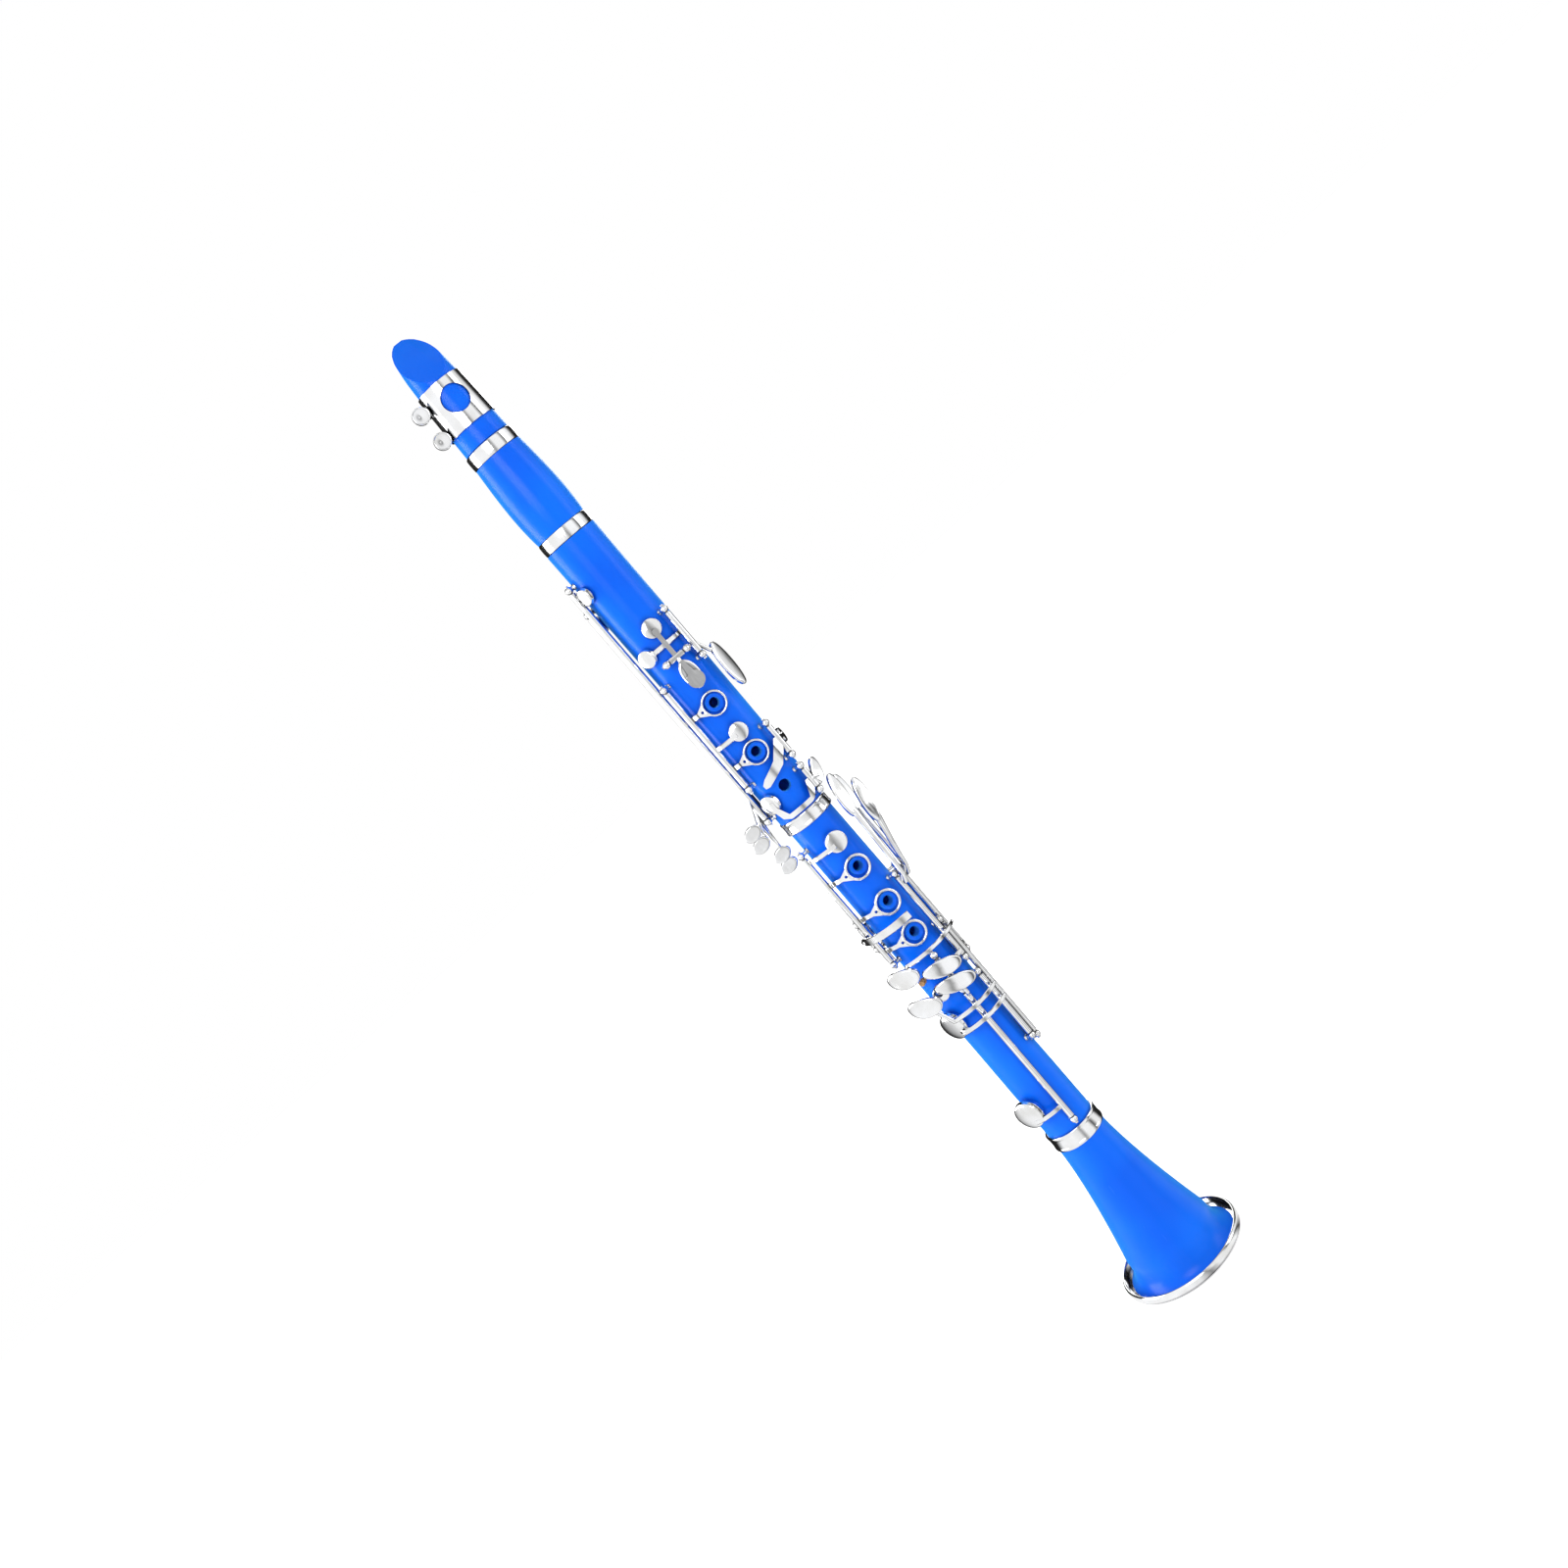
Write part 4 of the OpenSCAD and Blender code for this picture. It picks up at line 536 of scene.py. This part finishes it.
# Left-hand levers: each blade runs down into a stem that thins and sweeps in to the top of its tube
levers = {"leftFSharpStem": ("left_fsharp", 41, (18.8, -14, 334.5), 30), "leftFStem": ("left_f", 73, (28.6, -9, 323.0), 22),
          "leftEStem": ("left_e", 89, (25.5, 4, 329.0), 30)}
stem = dict(out=21.6, foot=275.5, knee=280.5, kneeOut=23.5, sweep=9.0, thin=1.25, thick=1.5, wide=2.7, steps=18)
for name, (body, angle, blade, facing) in levers.items():
    flat = Matrix.Rotation(math.radians(-facing), 4, "Z")
    away = Vector((math.sin(math.radians(angle)), -math.cos(math.radians(angle)), 0))
    foot = flat @ (away * stem["out"] + Vector((0, 0, stem["foot"])))
    knee = flat @ (away * stem["kneeOut"] + Vector((0, 0, stem["knee"])))
    bow = knee + (flat @ away) * 0.8 + Vector((0, 0, stem["sweep"]))
    tip = flat @ (Vector(blade) - Vector((0, 0, 6)))
    deselectAll()
    bpy.ops.mesh.primitive_circle_add(vertices=24, radius=mm(stem["thin"]), fill_type="NGON", location=foot / 1000)
    bpy.ops.object.transform_apply(location=True)
    bpy.ops.object.mode_set(mode="EDIT")
    bpy.ops.mesh.select_all(action="SELECT")
    centre, wide, thick = foot, stem["thin"], stem["thin"]
    for step in range(1, stem["steps"] + 1):
        t = step / stem["steps"]
        run = (t - 0.2) / 0.8
        if run <= 0:  # out to the knee, clear of the post
            spot = foot.lerp(knee, t * 5)
        else:  # then up to the blade
            spot = knee * (1 - run) ** 2 + bow * 2 * run * (1 - run) + tip * run ** 2
        nextWide = stem["thin"] + (stem["wide"] - stem["thin"]) * t ** 2
        nextThick = stem["thin"] + (stem["thick"] - stem["thin"]) * math.sin(math.pi * t)
        if step == stem["steps"]:
            nextWide, nextThick = nextWide * 0.6, nextThick * 0.5
        bpy.ops.mesh.extrude_region_move(TRANSFORM_OT_translate={"value": (spot - centre) / 1000})
        bpy.ops.transform.resize(value=(nextWide / wide, nextThick / thick, 1), center_override=spot / 1000)
        centre, wide, thick = spot, nextWide, nextThick
    bpy.ops.mesh.select_all(action="SELECT")
    bpy.ops.mesh.normals_make_consistent(inside=False)
    bpy.ops.object.mode_set(mode="OBJECT")
    finishPiece(bpy.context.object, name, body, "nickel",
                Matrix.Rotation(math.radians(lowerTurn + facing), 4, "Z"), angle=60)

# A cork-faced stop stands on the body between the little-finger touches
stop = turnedShape([(0, 0), (1.1, 0), (1.1, 2.6), (1.7, 2.7), (1.85, 3.1), (1.85, 5.8), (1.6, 6.2), (0, 6.25)], 32)
finishPiece(stop, "touchStop", "body", "cork", onBody(227.3, -51 + lowerTurn, bodyRadius(227.3) - 0.3))
print("touches and levers are made")


studio = dict(floorSize=8.0, floorWhite=0.93, floorGlow=0.55, worldLight=0.6)
# what metal sees round it, by degrees about the upright axis, 0 in front: dark behind, soft grey bands beside
surround = [(-180, 0.01), (-124, 0.02), (-98, 1.05), (-40, 1.1), (-9, 0.95), (3, 0.3), (15, 1.05), (44, 1.1),
            (58, 0.04), (76, 1.05), (96, 0.95), (112, 0.02), (180, 0.01)]


def bearingRamp(tree, place):  # the same bands on the floor and in the air above it
    looking = addNode(tree, "ShaderNodeSeparateXYZ", links={0: place})
    front = addNode(tree, "ShaderNodeMath", {1: -1.0}, {0: looking.outputs["Y"]}, operation="MULTIPLY")
    bearing = addNode(tree, "ShaderNodeMath", links={0: looking.outputs["X"], 1: front.outputs["Value"]},
                      operation="ARCTAN2")
    bearing = addNode(tree, "ShaderNodeMapRange", {"From Min": -math.pi, "From Max": math.pi},
                      {"Value": bearing.outputs["Value"]})
    return rampNode(tree, bearing.outputs["Result"],
                    [(degrees / 360 + 0.5, grey(value)) for degrees, value in surround])


deselectAll()
bpy.ops.mesh.primitive_plane_add(size=studio["floorSize"], location=(0, 0, -0.0004))
floor = bpy.context.object
floor.name = "floor"
material, tree, shader = newMaterial("whitePaper", {"Base Color": grey(studio["floorWhite"]), "Roughness": 0.9,
                                                    "Emission Color": grey(1.0)})
rays = addNode(tree, "ShaderNodeLightPath")
seen = addNode(tree, "ShaderNodeMath", links={0: rays.outputs["Is Camera Ray"], 1: rays.outputs["Is Glossy Ray"]},
               operation="MAXIMUM")
seen = addNode(tree, "ShaderNodeMath", links={0: seen.outputs["Value"], 1: rays.outputs["Is Transmission Ray"]},
               operation="MAXIMUM")
glow = addNode(tree, "ShaderNodeMath", {1: studio["floorGlow"]}, {0: seen.outputs["Value"]}, operation="MULTIPLY")
tree.links.new(glow.outputs["Value"], shader.inputs["Emission Strength"])
bands = bearingRamp(tree, addNode(tree, "ShaderNodeTexCoord").outputs["Object"])
shine = addNode(tree, "ShaderNodeEmission", links={"Color": bands.outputs["Color"]})
both = addNode(tree, "ShaderNodeMixShader", links={0: rays.outputs["Is Glossy Ray"], 1: shader.outputs["BSDF"],
                                                   2: shine.outputs["Emission"]})
tree.links.new(both.outputs["Shader"], tree.nodes["Material Output"].inputs["Surface"])
floor.data.materials.append(material)

world = bpy.data.worlds.new("studio")
bpy.context.scene.world = world
world.use_nodes = True
tree = world.node_tree
back = tree.nodes["Background"]
rays = addNode(tree, "ShaderNodeLightPath")
seen = addNode(tree, "ShaderNodeMath", links={0: rays.outputs["Is Camera Ray"], 1: rays.outputs["Is Glossy Ray"]},
               operation="MAXIMUM")
seen = addNode(tree, "ShaderNodeMath", links={0: seen.outputs["Value"], 1: rays.outputs["Is Transmission Ray"]},
               operation="MAXIMUM")
level = addNode(tree, "ShaderNodeMapRange", {"To Min": studio["worldLight"], "To Max": 1.0},
                {"Value": seen.outputs["Value"]})
room = bearingRamp(tree, addNode(tree, "ShaderNodeTexCoord").outputs["Generated"])
room = addNode(tree, "ShaderNodeMix", links={"Factor": rays.outputs["Is Glossy Ray"], "A": level.outputs["Result"],
                                             "B": room.outputs["Color"]})
back.inputs["Color"].default_value = grey(1.0)
tree.links.new(room.outputs["Result"], back.inputs["Strength"])

# name: place, aim, size across and along, watts
lamps = {
    "keyPanel": ((-1.3, 0.3, 0.4), (0, 0, 0.33), (0.7, 1.7), 20.0),
    "frontPanel": ((-0.5, -1.5, 1.0), (0, 0, 0.33), (0.8, 0.8), 10.0),
    "fillPanel": ((1.4, -0.5, 0.4), (0, 0, 0.33), (0.5, 1.6), 5.0),
    "backPanel": ((0.5, 1.4, 0.9), (0, 0, 0.33), (0.9, 0.9), 8.0),
}
for name, (place, aim, (across, along), watts) in lamps.items():
    lamp = bpy.data.lights.new(name, "AREA")
    lamp.shape = "RECTANGLE"
    lamp.size, lamp.size_y, lamp.energy = across, along, watts
    holder = bpy.data.objects.new(name, lamp)
    bpy.context.scene.collection.objects.link(holder)
    holder.location = place
    holder.rotation_euler = (Vector(aim) - Vector(place)).to_track_quat("-Z", "Y").to_euler()

viewpoint = dict(foot=491.0, distance=879.0, azimuth=-5.4, down=8.6, roll=40.65, aside=1.3, focal=1672 / 1600 * 36)
turn, dip, roll = (math.radians(viewpoint[key]) for key in ("azimuth", "down", "roll"))
ahead = Vector((-math.sin(turn) * math.cos(dip), math.cos(turn) * math.cos(dip), -math.sin(dip)))
right = ahead.cross(Vector((0, 0, 1))).normalized()
above = right.cross(ahead)
cameraUp = above * math.cos(roll) + right * math.sin(roll)
cameraRight = right * math.cos(roll) - above * math.sin(roll)
eye = bpy.data.cameras.new("camera")
eye.sensor_width = 36.0
eye.lens = viewpoint["focal"]
eye.clip_start, eye.clip_end = 0.05, 30.0
camera = bpy.data.objects.new("camera", eye)
bpy.context.scene.collection.objects.link(camera)
place = Vector((mm(viewpoint["distance"]) * math.sin(turn), -mm(viewpoint["distance"]) * math.cos(turn),
                mm(viewpoint["foot"]))) + right * mm(viewpoint["aside"])
camera.matrix_world = Matrix.Translation(place) @ Matrix((cameraRight, cameraUp, -ahead)).transposed().to_4x4()
bpy.context.scene.camera = camera
bpy.context.scene.view_settings.view_transform = "Standard"
print("stage is set")

deselectAll()
